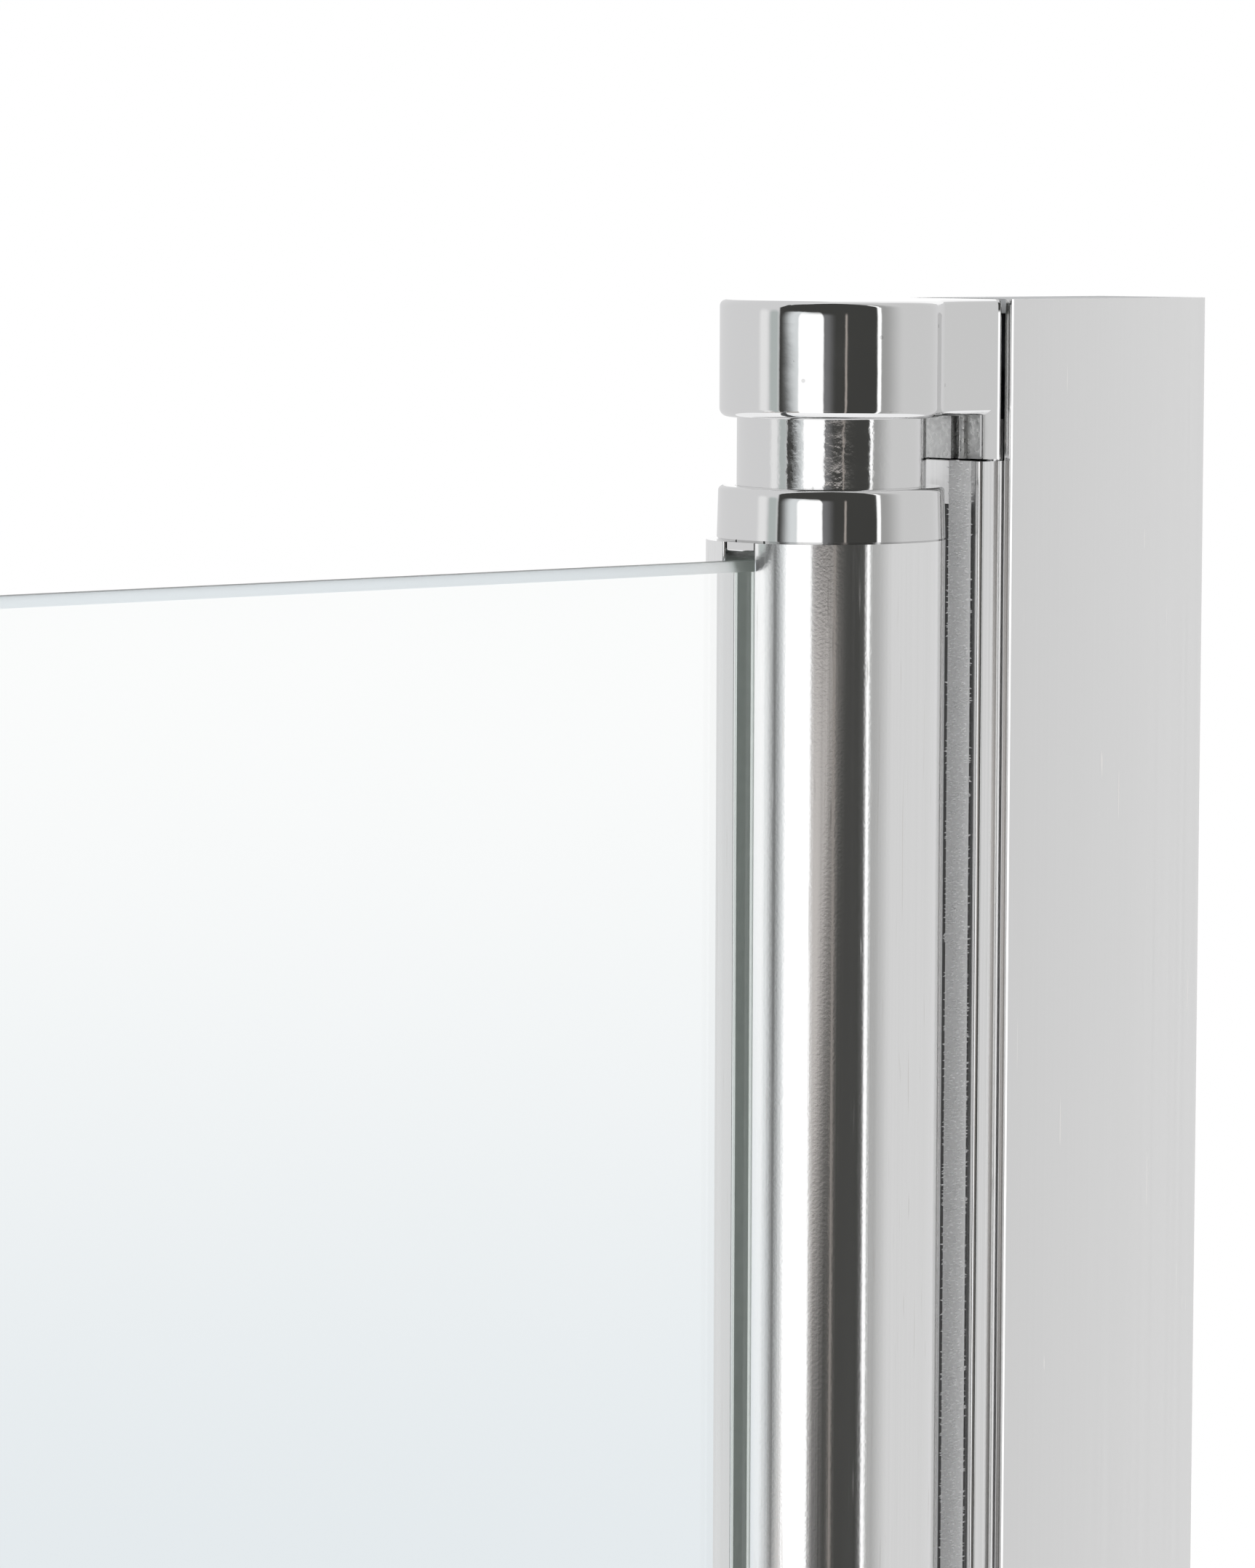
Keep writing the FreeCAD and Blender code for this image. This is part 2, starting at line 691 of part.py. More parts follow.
def glass_panel():
    """Toughened leaf with one large rounded corner and polished, chamfered edges."""
    x_in, x_out = -glass_edge, -glass_free_edge
    z0, z1 = glass_bottom, glass_top
    big, small = glass_top_corner, glass_low_corner
    bend = math.sqrt(0.5)
    top_mid = Vec(x_out + big - big * bend, 0, z1 - big + big * bend)
    low_mid = Vec(x_out + small - small * bend, 0, z0 + small - small * bend)
    edges = [
        line(Vec(x_in, 0, z0), Vec(x_in, 0, z1)),
        line(Vec(x_in, 0, z1), Vec(x_out + big, 0, z1)),
        Part.Arc(Vec(x_out + big, 0, z1), top_mid, Vec(x_out, 0, z1 - big)).toShape(),
        line(Vec(x_out, 0, z1 - big), Vec(x_out, 0, z0 + small)),
        Part.Arc(Vec(x_out, 0, z0 + small), low_mid, Vec(x_out + small, 0, z0)).toShape(),
        line(Vec(x_out + small, 0, z0), Vec(x_in, 0, z0)),
    ]
    face = Part.Face(Part.Wire(edges))
    face.translate(Vec(0, -glass_thickness / 2, 0))
    pane = face.extrude(Vec(0, glass_thickness, 0))
    rims = []
    for edge in pane.Edges:
        if edge.BoundBox.YMax - edge.BoundBox.YMin < 1e-6:
            rims.append(edge)
    return pane.makeChamfer(glass_arris, rims)


def gasket(side):
    """Glazing strip between one face of the glass and the wall of the slot."""
    y0, y1 = sorted((side * glass_thickness / 2, side * slot_half))
    x0, x1 = gasket_mouth_inset - jaw_tip, -glass_edge - glass_arris
    return block(x0, x1, y0, y1, glass_bottom + glass_arris, glass_top - glass_arris)


def setting_block():
    """Pad that carries the glass on the bottom cap's tab, inside the slot."""
    half = glass_thickness / 2
    low = tube_bottom + slot_tab_height
    return block(jaw_reach - jaw_tip, -glass_edge - glass_arris, -half, half, low, glass_bottom)


def bottom_seal():
    """Clear wiper pushed on the foot of the glass: a grip channel and two splayed fins."""
    half = glass_thickness / 2
    outer = half + seal_wall
    grip_top = glass_bottom + seal_grip
    floor = glass_bottom - seal_floor
    tip = seal_rim_gap
    section = [
        Vec(0, -outer, grip_top), Vec(0, -half, grip_top), Vec(0, -half, glass_bottom),
        Vec(0, half, glass_bottom), Vec(0, half, grip_top), Vec(0, outer, grip_top),
        Vec(0, outer, floor), Vec(0, outer, tip), Vec(0, outer - seal_fin, tip),
        Vec(0, outer - seal_fin, floor), Vec(0, -outer + seal_fin, floor),
        Vec(0, -outer - seal_fin_spread + seal_fin, tip), Vec(0, -outer - seal_fin_spread, tip),
        Vec(0, -outer, floor),
    ]
    start = -jaw_tip - seal_hinge_gap
    length = glass_free_edge - seal_free_inset + start
    seal = polygon(section).extrude(Vec(-length, 0, 0))
    seal.translate(Vec(start, 0, 0))
    return seal


def build():
    top_face, bottom_face = bracket_face_top, bracket_height
    plug_bottom = end_plug()
    plug_bottom.rotate(Vec(0, 0, 0), Vec(1, 0, 0), 180)
    plug_top = end_plug()
    plug_top.translate(Vec(0, 0, screen_height))
    return {
        "wall_profile": wall_profile(),
        "top_end_plug": plug_top,
        "bottom_end_plug": plug_bottom,
        "adjusting_profile": at_pivot(adjusting_profile()),
        "pile_seals": at_pivot(pile_seals()),
        "lock_screws": at_pivot(Part.makeCompound([lock_screw(z) for z in lock_heights()])),
        "lock_screw_covers": at_pivot(Part.makeCompound([lock_cover(z) for z in lock_heights()])),
        "top_bracket": at_top(bracket(), top_face),
        "bottom_bracket": at_bottom(bracket(), bottom_face),
        "bracket_screws": bracket_screws(),
        "top_neck": at_top(neck(), top_face),
        "bottom_neck": at_bottom(neck(), bottom_face),
        "top_bush": at_top(bush(), top_face),
        "bottom_bush": at_bottom(bush(), bottom_face),
        "lift_cam_fixed": at_pivot(lift_cam_fixed(), bottom_face),
        "top_spindle": at_top(spindle(), top_face),
        "bottom_spindle": at_bottom(spindle(), bottom_face),
        "hinge_tube": at_pivot(hinge_tube()),
        "top_cap": at_top(cap(), cap_top),
        "bottom_cap": at_bottom(cap(), cap_bottom),
        "cap_screws": cap_screws(),
        "lift_cam_moving": at_pivot(lift_cam_moving(), bottom_face),
        "glass_panel": at_pivot(glass_panel()),
        "front_gasket": at_pivot(gasket(-1)),
        "rear_gasket": at_pivot(gasket(1)),
        "setting_block": at_pivot(setting_block()),
        "bottom_seal": at_pivot(bottom_seal()),
    }


os.makedirs("parts", exist_ok=True)
for node, shape in build().items():
    shape.exportStep(os.path.join("parts", node + ".step"))
    state = "valid" if shape.isValid() else "not valid"
    print(node, len(shape.Solids), "solid(s)", round(shape.Volume), "mm3", state)
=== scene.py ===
# %% [markdown]
# # A pivoting glass bath screen
# A pane of safety glass hangs in a round aluminium column. The column turns between two chrome
# brackets, and a slim aluminium profile ties the brackets to the wall. All of that is already built
# and packed at its real size, so this lesson only loads it and then gives every piece its finish.

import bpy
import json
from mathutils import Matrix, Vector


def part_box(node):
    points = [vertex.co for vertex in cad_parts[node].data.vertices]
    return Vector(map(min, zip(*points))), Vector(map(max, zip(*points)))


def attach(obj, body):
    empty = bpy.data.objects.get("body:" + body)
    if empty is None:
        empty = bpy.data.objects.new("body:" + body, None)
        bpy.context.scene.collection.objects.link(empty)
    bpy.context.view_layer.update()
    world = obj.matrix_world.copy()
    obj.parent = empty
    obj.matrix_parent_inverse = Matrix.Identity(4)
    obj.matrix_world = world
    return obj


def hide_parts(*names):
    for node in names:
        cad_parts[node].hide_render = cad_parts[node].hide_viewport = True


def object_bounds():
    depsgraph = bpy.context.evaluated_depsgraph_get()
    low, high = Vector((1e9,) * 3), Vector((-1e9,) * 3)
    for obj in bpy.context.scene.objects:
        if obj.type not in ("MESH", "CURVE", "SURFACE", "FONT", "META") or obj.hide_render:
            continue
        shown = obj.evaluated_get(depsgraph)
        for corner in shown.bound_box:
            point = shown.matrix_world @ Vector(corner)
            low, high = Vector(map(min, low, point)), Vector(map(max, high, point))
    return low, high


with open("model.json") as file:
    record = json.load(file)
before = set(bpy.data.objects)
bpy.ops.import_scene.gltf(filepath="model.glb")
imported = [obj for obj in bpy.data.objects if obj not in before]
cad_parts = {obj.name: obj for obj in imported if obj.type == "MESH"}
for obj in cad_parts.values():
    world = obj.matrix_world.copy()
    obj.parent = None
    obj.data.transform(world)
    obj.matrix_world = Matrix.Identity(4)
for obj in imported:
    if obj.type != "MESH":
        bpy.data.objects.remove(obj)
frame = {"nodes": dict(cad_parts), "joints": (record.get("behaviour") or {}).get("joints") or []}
cad_low, cad_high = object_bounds()
nodes = frame["nodes"]
print("screen of", len(nodes), "pieces from", tuple(cad_low), "to", tuple(cad_high))

# %% [markdown]
# ## Places to measure from
# The hinge axis is the line that everything else is arranged around, so it is read from the joint
# instead of typed again. The boxes of a few nodes give the heights that later cells need.

# %% Read the hinge axis and the main heights
import math

import bmesh
import bpy
from mathutils import Matrix, Vector

MM = 0.001
swing = next(joint for joint in frame["joints"] if joint["name"] == "leaf_swing")
pivot = Vector(swing["pos_m"])
tube_low, tube_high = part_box("hinge_tube")
print("hinge axis at x", round(pivot.x, 4), "and column from", round(tube_low.z, 4),
      "to", round(tube_high.z, 4))

# %% [markdown]
# ## The camera
# The photograph is a close view of the top hinge, taken with a long lens from just above the bracket.
# The turn, pitch and roll below give the direction that the lens points back along, and three
# perpendicular vectors make the camera's matrix. The hinge axis at the column's top is then projected
# by hand, because it is a quick proof that the camera stands where it should.

# %% Place the camera
PHOTO_SIZE = (1725, 2156)
CAMERA_SPOT = Vector((-0.6524, -0.6119, 1.4113))
CAMERA_TURN = math.radians(-42)
CAMERA_PITCH = math.radians(5.25)
CAMERA_ROLL = math.radians(0.18)
LENS_MM = 141.93
SENSOR_MM = 36.0


def heading(turn, rise):
    """The direction at a turn about the vertical and a rise above the level."""
    return Vector((math.sin(turn) * math.cos(rise), -math.cos(turn) * math.cos(rise), math.sin(rise)))


def camera_axes(turn, pitch, roll):
    """The camera's right, up and back directions."""
    back = heading(turn, pitch)
    right = Vector((math.cos(turn), math.sin(turn), 0))
    up = back.cross(right)
    tilted_right = right * math.cos(roll) + up * math.sin(roll)
    tilted_up = up * math.cos(roll) - right * math.sin(roll)
    return tilted_right, tilted_up, back


def new_object(name, data):
    """A new object in the scene, at the origin."""
    made = bpy.data.objects.new(name, data)
    bpy.context.collection.objects.link(made)
    return made


axes = camera_axes(CAMERA_TURN, CAMERA_PITCH, CAMERA_ROLL)
camera_data = bpy.data.cameras.new("camera")
camera_data.lens = LENS_MM
camera_data.sensor_width = SENSOR_MM
camera_data.clip_start = 0.01
camera = new_object("camera", camera_data)
camera.matrix_world = Matrix.Translation(CAMERA_SPOT) @ Matrix(axes).transposed().to_4x4()
bpy.context.scene.camera = camera
bpy.context.scene.view_settings.view_transform = "Standard"

sight = Vector((pivot.x, pivot.y, tube_high.z)) - CAMERA_SPOT
pixels_per_slope = LENS_MM / SENSOR_MM * max(PHOTO_SIZE)
depth = -sight.dot(axes[2])
print("column top lands at pixel",
      round(PHOTO_SIZE[0] / 2 + sight.dot(axes[0]) / depth * pixels_per_slope, 1),
      round(PHOTO_SIZE[1] / 2 - sight.dot(axes[1]) / depth * pixels_per_slope, 1))

# %% [markdown]
# ## Small helpers for node trees
# Node trees are easier to read when a term may be a number or another node's output. `feed` sets or
# links a socket, `step` adds any node with its inputs by name, and `maths` adds one Math node.
# `shader_group` starts a group with named sockets, and `place_group` puts it into a tree.

# %% Node helpers
def feed(tree, socket, term):
    """Links the term if it is another node's output, and sets it as a value otherwise."""
    if isinstance(term, bpy.types.NodeSocket):
        tree.links.new(term, socket)
    else:
        socket.default_value = term


def step(tree, kind, settings=None, **terms):
    """One node with its settings and its inputs by name, and its first output."""
    node = tree.nodes.new(kind)
    for label, value in (settings or {}).items():
        setattr(node, label, value)
    for label, term in terms.items():
        feed(tree, next(s for s in node.inputs if s.name == label.replace("_", " ") and s.enabled), term)
    return next(s for s in node.outputs if s.enabled)


def maths(tree, operation, *terms):
    node = tree.nodes.new("ShaderNodeMath")
    node.operation = operation
    for socket, term in zip(node.inputs, terms):
        feed(tree, socket, term)
    return node.outputs[0]


def product(tree, first, *others):
    for other in others:
        first = maths(tree, "MULTIPLY", first, other)
    return first


def minus(tree, first, second):
    return maths(tree, "SUBTRACT", first, second)


def xyz(tree, vector):
    """The X, Y and Z of a vector, as outputs."""
    node = tree.nodes.new("ShaderNodeSeparateXYZ")
    feed(tree, node.inputs[0], vector)
    return node.outputs


def ramp(tree, value, start, end, low=0.0, high=1.0):
    """A smooth step from low to high while the value goes from start to end."""
    return step(tree, "ShaderNodeMapRange", {"interpolation_type": "SMOOTHSTEP"},
                Value=value, From_Min=start, From_Max=end, To_Min=low, To_Max=high)


def blend_colours(tree, mask, under, over):
    return step(tree, "ShaderNodeMix", {"data_type": "RGBA"}, Factor=mask, A=under, B=over)


def shader_group(name, inputs, outputs):
    """An empty shader group with its inputs and their values, and outputs that are numbers."""
    tree = bpy.data.node_groups.new(name, "ShaderNodeTree")
    for label, value in inputs.items():
        kind = "NodeSocketFloat" if isinstance(value, float) else "NodeSocketVector"
        tree.interface.new_socket(label, in_out="INPUT", socket_type=kind).default_value = value
    for label in outputs:
        tree.interface.new_socket(label, in_out="OUTPUT", socket_type="NodeSocketFloat")
    return tree, tree.nodes.new("NodeGroupInput").outputs, tree.nodes.new("NodeGroupOutput").inputs


def place_group(tree, group, **terms):
    """A copy of a group in another tree, with its inputs set by name, and its outputs."""
    node = tree.nodes.new("ShaderNodeGroup")
    node.node_tree = group
    for label, term in terms.items():
        feed(tree, node.inputs[label.replace("_", " ")], term)
    return node.outputs


print("node helpers ready")

# %% [markdown]
# ## The studio that the chrome sees
# Mirror chrome has no colour of its own: it shows the room. A product studio is white, with tall
# softboxes and black cards that draw clean edges down a cylinder. Real cards would get into the other
# views, so the room is painted in the world shader, and only glossy rays see it. Each card is a band of
# azimuth, measured from the camera, between two heights, with rounded upper corners and ends that fade.

# %% A band of the studio
def studio_band_group():
    tree, given, result = shader_group(
        "studio_band",
        {"Direction": (0, 0, 0), "Centre": 0.0, "Half Width": 10.0, "Edge": 1.0, "Slant": 0.0, "Low": -90.0,
         "High": 90.0, "Corner": 1.0, "Fade": 4.0},
        ["Mask"])
    way = xyz(tree, given["Direction"])
    turn = maths(tree, "ARCTAN2", way["X"], product(tree, way["Y"], -1.0))
    turn = minus(tree, maths(tree, "DEGREES", turn), math.degrees(CAMERA_TURN))
    rise = maths(tree, "DEGREES", maths(tree, "ARCSINE", way["Z"]))
    centre = maths(tree, "MULTIPLY_ADD", rise, given["Slant"], given["Centre"])
    off = maths(tree, "ABSOLUTE", maths(tree, "WRAP", minus(tree, turn, centre), 180.0, -180.0))
    into_corner = maths(tree, "ADD", minus(tree, rise, given["High"]), given["Corner"])
    into_corner = maths(tree, "MINIMUM", maths(tree, "DIVIDE", into_corner, given["Corner"]), 1.0)
    into_corner = maths(tree, "MAXIMUM", into_corner, 0.0)
    chord = maths(tree, "SQRT", minus(tree, 1.0, product(tree, into_corner, into_corner)))
    drawn_in = product(tree, given["Corner"], minus(tree, 1.0, chord))
    half_width = minus(tree, given["Half Width"], drawn_in)
    inner = minus(tree, half_width, given["Edge"])
    outer = maths(tree, "ADD", half_width, given["Edge"])
    across = minus(tree, 1.0, ramp(tree, off, inner, outer))
    above = ramp(tree, rise, given["Low"], maths(tree, "ADD", given["Low"], given["Fade"]))
    below = ramp(tree, rise, given["High"], minus(tree, given["High"], given["Fade"]))
    feed(tree, result["Mask"], product(tree, across, above, below))
    return tree


studio_band = studio_band_group()
print("studio band has", len(studio_band.nodes), "nodes")

# %% [markdown]
# ## Hanging the cards
# The list reads like a lighting plan, and each row is painted over the rows before it: greys at the
# side of a pale room, a black card with a tall softbox and its glow in front, warm cards low down that
# only the column shows, and a bright slit where the black card ends. Camera rays see plain white, and
# rays through the glass see a backdrop that cools a little towards the floor. All other light is one
# even, plain level.

# %% Build the world
WHITE = (1, 1, 1, 1)
PALE_ROOM = (0.75, 0.75, 0.755, 1)
CARD_MEASURES = ("Centre", "Half_Width", "Edge", "Slant", "Low", "High", "Corner", "Fade")
STUDIO_CARDS = (
    # the measures in that order, in degrees, and the colour
    (163.0, 17.0, 2.0, 0.0, -60.0, 60.0, 1.0, 4.0, (1.10, 1.10, 1.10, 1)),
    (95.0, 34.0, 12.0, 0.0, -94.0, 94.0, 1.0, 4.0, (0.70, 0.70, 0.70, 1)),
    (45.0, 20.0, 13.0, 0.0, -94.0, 94.0, 1.0, 4.0, (0.40, 0.40, 0.395, 1)),
    (-76.0, 5.0, 3.0, 0.0, -60.0, 12.0, 5.0, 4.0, (0.92, 0.92, 0.92, 1)),
    (-63.5, 5.0, 2.5, 0.0, -60.0, 12.0, 5.0, 4.0, (0.50, 0.54, 0.53, 1)),
    (-6.2, 51.3, 1.2, 0.0, -94.0, 94.0, 1.0, 4.0, (0.058, 0.058, 0.055, 1)),
    (-30.0, 13.0, 8.0, 0.0, -55.0, 11.0, 8.0, 4.0, (0.84, 0.87, 0.88, 1)),
    (-35.5, 13.0, 8.0, 0.0, -2.4, 11.0, 8.0, 1.8, (0.80, 0.83, 0.84, 1)),
    (-9.0, 6.0, 6.0, 0.0, -50.0, 10.0, 5.0, 4.0, (0.20, 0.20, 0.205, 1)),
    (26.0, 9.0, 6.0, 3.4, -30.0, -2.4, 1.0, 1.8, (0.21, 0.20, 0.19, 1)),
    (13.0, 13.0, 3.0, 3.4, -30.0, -2.4, 1.0, 1.8, (0.58, 0.55, 0.53, 1)),
    (-23.5, 13.0, 1.0, 0.0, -50.0, 11.0, 8.0, 4.0, (1.27, 1.27, 1.27, 1)),
    (12.5, 1.0, 0.8, 0.0, -45.0, 10.0, 1.0, 4.0, (0.42, 0.38, 0.35, 1)),
    (47.6, 2.0, 0.8, 0.0, -60.0, 55.0, 1.0, 4.0, (1.30, 1.30, 1.30, 1)),
)
PLAIN_LIGHT = 0.72
BACKDROP_FOOT = (0.80, 0.84, 0.87, 1)
BACKDROP_COOLS = (-0.06, -0.23)


def background(tree, colour, strength=1.0):
    return step(tree, "ShaderNodeBackground", Color=colour, Strength=strength)


def mix_shaders(tree, mask, under, over):
    node = tree.nodes.new("ShaderNodeMixShader")
    for socket, term in zip(node.inputs, (mask, under, over)):
        feed(tree, socket, term)
    return node.outputs[0]


def build_studio():
    world = bpy.data.worlds.new("studio")
    world.use_nodes = True
    tree = world.node_tree
    tree.nodes.clear()
    direction = tree.nodes.new("ShaderNodeTexCoord").outputs["Generated"]
    room = PALE_ROOM
    for *measures, colour in STUDIO_CARDS:
        band = place_group(tree, studio_band, Direction=direction, **dict(zip(CARD_MEASURES, measures)))
        room = blend_colours(tree, band["Mask"], room, colour)
    cool = ramp(tree, xyz(tree, direction)["Z"], *BACKDROP_COOLS)
    backdrop = blend_colours(tree, cool, WHITE, BACKDROP_FOOT)
    rays = tree.nodes.new("ShaderNodeLightPath").outputs
    light = background(tree, WHITE, PLAIN_LIGHT)
    light = mix_shaders(tree, rays["Is Glossy Ray"], light, background(tree, room))
    light = mix_shaders(tree, rays["Is Transmission Ray"], light, background(tree, backdrop))
    light = mix_shaders(tree, rays["Is Camera Ray"], light, background(tree, WHITE))
    tree.links.new(light, tree.nodes.new("ShaderNodeOutputWorld").inputs["Surface"])
    bpy.context.scene.world = world


build_studio()
print("studio has", len(STUDIO_CARDS), "cards")

# %% [markdown]
# ## Lamps and floor
# One large soft lamp stands where the softbox is and gives the rubber, felt and plastic a gentle side.
# A tall strip stands close to the wall rail, because satin aluminium only shades across its width when
# a light is near. Light linking keeps the strip to the rail, or it would draw a line on every curve of
# the chrome. The floor is a pale disc at the rim of the bath. It glows a little for camera rays, so
# it fades into the white, and its matt part still takes the shadow. Through the glass it has the
# backdrop's cool tint, so that no horizon cuts across the pane.

# %% Set the lamps and the floor
SOFTBOX_TURN = CAMERA_TURN + math.radians(-22)
SOFTBOX_RISE = math.radians(35)
SOFTBOX_DISTANCE = 3.0
SOFTBOX_SIZE = (1.6, 1.6)
SOFTBOX_POWER = 18
STRIP_SPOT = (0.30, -0.26)
STRIP_TARGET = (-0.02, 0)
STRIP_SIZE = (0.08, 2.2)
STRIP_POWER = 0.6
FLOOR_RADIUS = 2.6
FLOOR_DROP = 0.5 * MM
FLOOR_MATT = (0.55, 0.55, 0.56, 1)
FLOOR_GLOW = 0.62
FLOOR_THROUGH_GLASS = (0.645, 0.71, 0.76, 1)


def area_lamp(name, spot, target, size, power):
    data = bpy.data.lights.new(name, "AREA")
    data.shape = "RECTANGLE"
    data.size, data.size_y = size
    data.energy = power
    lamp = new_object(name, data)
    lamp.location = spot
    lamp.rotation_euler = (target - spot).to_track_quat("-Z", "Y").to_euler()
    lamp.visible_camera = False
    lamp.visible_transmission = False
    return lamp


middle = (cad_low + cad_high) / 2
softbox = area_lamp("softbox", middle + heading(SOFTBOX_TURN, SOFTBOX_RISE) * SOFTBOX_DISTANCE, middle,
                    SOFTBOX_SIZE, SOFTBOX_POWER)
softbox.visible_glossy = False
strip = area_lamp("strip", Vector((*STRIP_SPOT, middle.z)), Vector((*STRIP_TARGET, middle.z)),
                  STRIP_SIZE, STRIP_POWER)
lit_by_strip = bpy.data.collections.new("lit_by_strip")
lit_by_strip.objects.link(nodes["wall_profile"])
strip.light_linking.receiver_collection = lit_by_strip


def floor_material():
    material = bpy.data.materials.new("floor")
    material.use_nodes = True
    tree = material.node_tree
    tree.nodes.clear()
    rays = tree.nodes.new("ShaderNodeLightPath").outputs
    seen = maths(tree, "MAXIMUM", rays["Is Glossy Ray"], rays["Is Transmission Ray"])
    seen = maths(tree, "MAXIMUM", rays["Is Camera Ray"], seen)
    tint = blend_colours(tree, rays["Is Transmission Ray"], WHITE, FLOOR_THROUGH_GLASS)
    both = tree.nodes.new("ShaderNodeAddShader")
    feed(tree, both.inputs[0], step(tree, "ShaderNodeBsdfDiffuse", Color=FLOOR_MATT))
    feed(tree, both.inputs[1], step(tree, "ShaderNodeEmission", Color=tint,
                                    Strength=product(tree, seen, FLOOR_GLOW)))
    tree.links.new(both.outputs[0], tree.nodes.new("ShaderNodeOutputMaterial").inputs["Surface"])
    return material


def mesh_object(name, shape, material=None):
    """A new object from a bmesh, which is freed."""
    mesh = bpy.data.meshes.new(name)
    shape.to_mesh(mesh)
    shape.free()
    if material:
        mesh.materials.append(material)
    return new_object(name, mesh)


disc = bmesh.new()
bmesh.ops.create_circle(disc, cap_ends=True, segments=96, radius=FLOOR_RADIUS,
                        matrix=Matrix.Translation((middle.x, middle.y, cad_low.z - FLOOR_DROP)))
floor = mesh_object("floor", disc, floor_material())
print("floor lies at", round(cad_low.z - FLOOR_DROP, 4))

# %% [markdown]
# ## Shared surface effects
# Four effects turn up on several finishes, so each is a group. Plating ripple is the slight unevenness
# that a chrome bath leaves. Drawn lines are the fine streaks that an extrusion die leaves along a
# profile. Rub marks are thin scratches, and specks are dust and dried drops. All of them read object
# coordinates, in metres, so a pattern has the same scale on every piece.

# %% Ripple, drawn lines, rub marks and specks
LINE_STRETCH = 0.0012
RUB_STRETCH_AND_TURN = ((0.03, (0.09, 0.13, 0)), (0.05, (-0.35, -0.28, 0)))
SPECK_CHANCE = 0.8


def object_place(tree, scale=(1, 1, 1), turn=(0, 0, 0)):
    """Object coordinates, stretched and turned."""
    place = tree.nodes.new("ShaderNodeTexCoord").outputs["Object"]
    return step(tree, "ShaderNodeMapping", Vector=place, Scale=scale, Rotation=turn)


def noise(tree, place, scale, detail, roughness=0.5):
    return step(tree, "ShaderNodeTexNoise", Vector=place, Scale=scale, Detail=detail, Roughness=roughness)


def inside_box(tree, low, high):
    """A mask that is 1 between two corners in object coordinates."""
    place = xyz(tree, object_place(tree))
    mask = 1.0
    for axis, start, end in zip("XYZ", low, high):
        off = maths(tree, "ABSOLUTE", minus(tree, place[axis], (start + end) / 2))
        mask = product(tree, mask, maths(tree, "LESS_THAN", off, (end - start) / 2))
    return mask


def uneven_group(name, stretch, detail, roughness, dullest):
    """A group of noise, stretched along the height, that gives a roughness and a height."""
    tree, given, result = shader_group(name, {"Per Metre": 1000.0, "Smooth": 0.1, "Dull": 0.2},
                                       ["Roughness", "Height"])
    place = object_place(tree, scale=(1, 1, stretch))
    waves = noise(tree, place, given["Per Metre"], detail, roughness)
    feed(tree, result["Roughness"], ramp(tree, waves, 0.3, dullest, given["Smooth"], given["Dull"]))
    feed(tree, result["Height"], waves)
    return tree


def rub_marks_group():
    tree, given, result = shader_group("rub_marks", {"Per Metre": 900.0, "Amount": 0.1}, ["Mask"])
    start = minus(tree, 0.86, given["Amount"])
    marks = []
    for stretch, turn in RUB_STRETCH_AND_TURN:
        place = object_place(tree, scale=(1, 1, stretch), turn=turn)
        marks.append(ramp(tree, noise(tree, place, given["Per Metre"], detail=0.0), start, 0.9))
    feed(tree, result["Mask"], maths(tree, "MAXIMUM", *marks))
    return tree


def specks_group():
    tree, given, result = shader_group("specks", {"Per Metre": 400.0, "Size": 0.12}, ["Mask"])
    cells = tree.nodes.new("ShaderNodeTexVoronoi")
    feed(tree, cells.inputs["Vector"], object_place(tree))
    feed(tree, cells.inputs["Scale"], given["Per Metre"])
    chance = step(tree, "ShaderNodeSeparateColor", Color=cells.outputs["Color"])
    reach = product(tree, given["Size"], maths(tree, "GREATER_THAN", chance, SPECK_CHANCE))
    feed(tree, result["Mask"], maths(tree, "LESS_THAN", cells.outputs["Distance"], reach))
    return tree


plating_ripple = uneven_group("plating_ripple", 1, 2.0, 0.5, 0.75)
drawn_lines = uneven_group("drawn_lines", LINE_STRETCH, 3.0, 0.65, 0.7)
rub_marks = rub_marks_group()
specks = specks_group()
print("surface effects:", plating_ripple.name, drawn_lines.name, rub_marks.name, specks.name)

# %% [markdown]
# ## From boss to arm
# On the real bracket one long hollow carries the round boss into the flat arm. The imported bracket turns
# more tightly there, and a mirror shows that as dark lines. So the shader's normal is laid along the
# long hollow, worked out from object coordinates, and turned towards the softbox on the last half
# millimetre of the arm, where polishing leaves a bright edge.

# %% Sweep the bracket's normal
BLEND_START = 6.6 * MM
BLEND_END = 17.0 * MM
ARM_SIDE = 8.0 * MM
ARM_OUTSIDE = 8.6 * MM
ARM_LENGTHENING = 1.2 * MM
END_FACE = 0.02 * MM
EDGE_WIDTH = 0.45 * MM
EDGE_TURN = math.radians(-53)


def packed_arm_end(name):
    """Where the sides of a bracket's arm stop short of the rail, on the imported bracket."""
    return max(v.co.x for v in nodes[name].data.vertices if abs(v.co.y) > ARM_OUTSIDE)


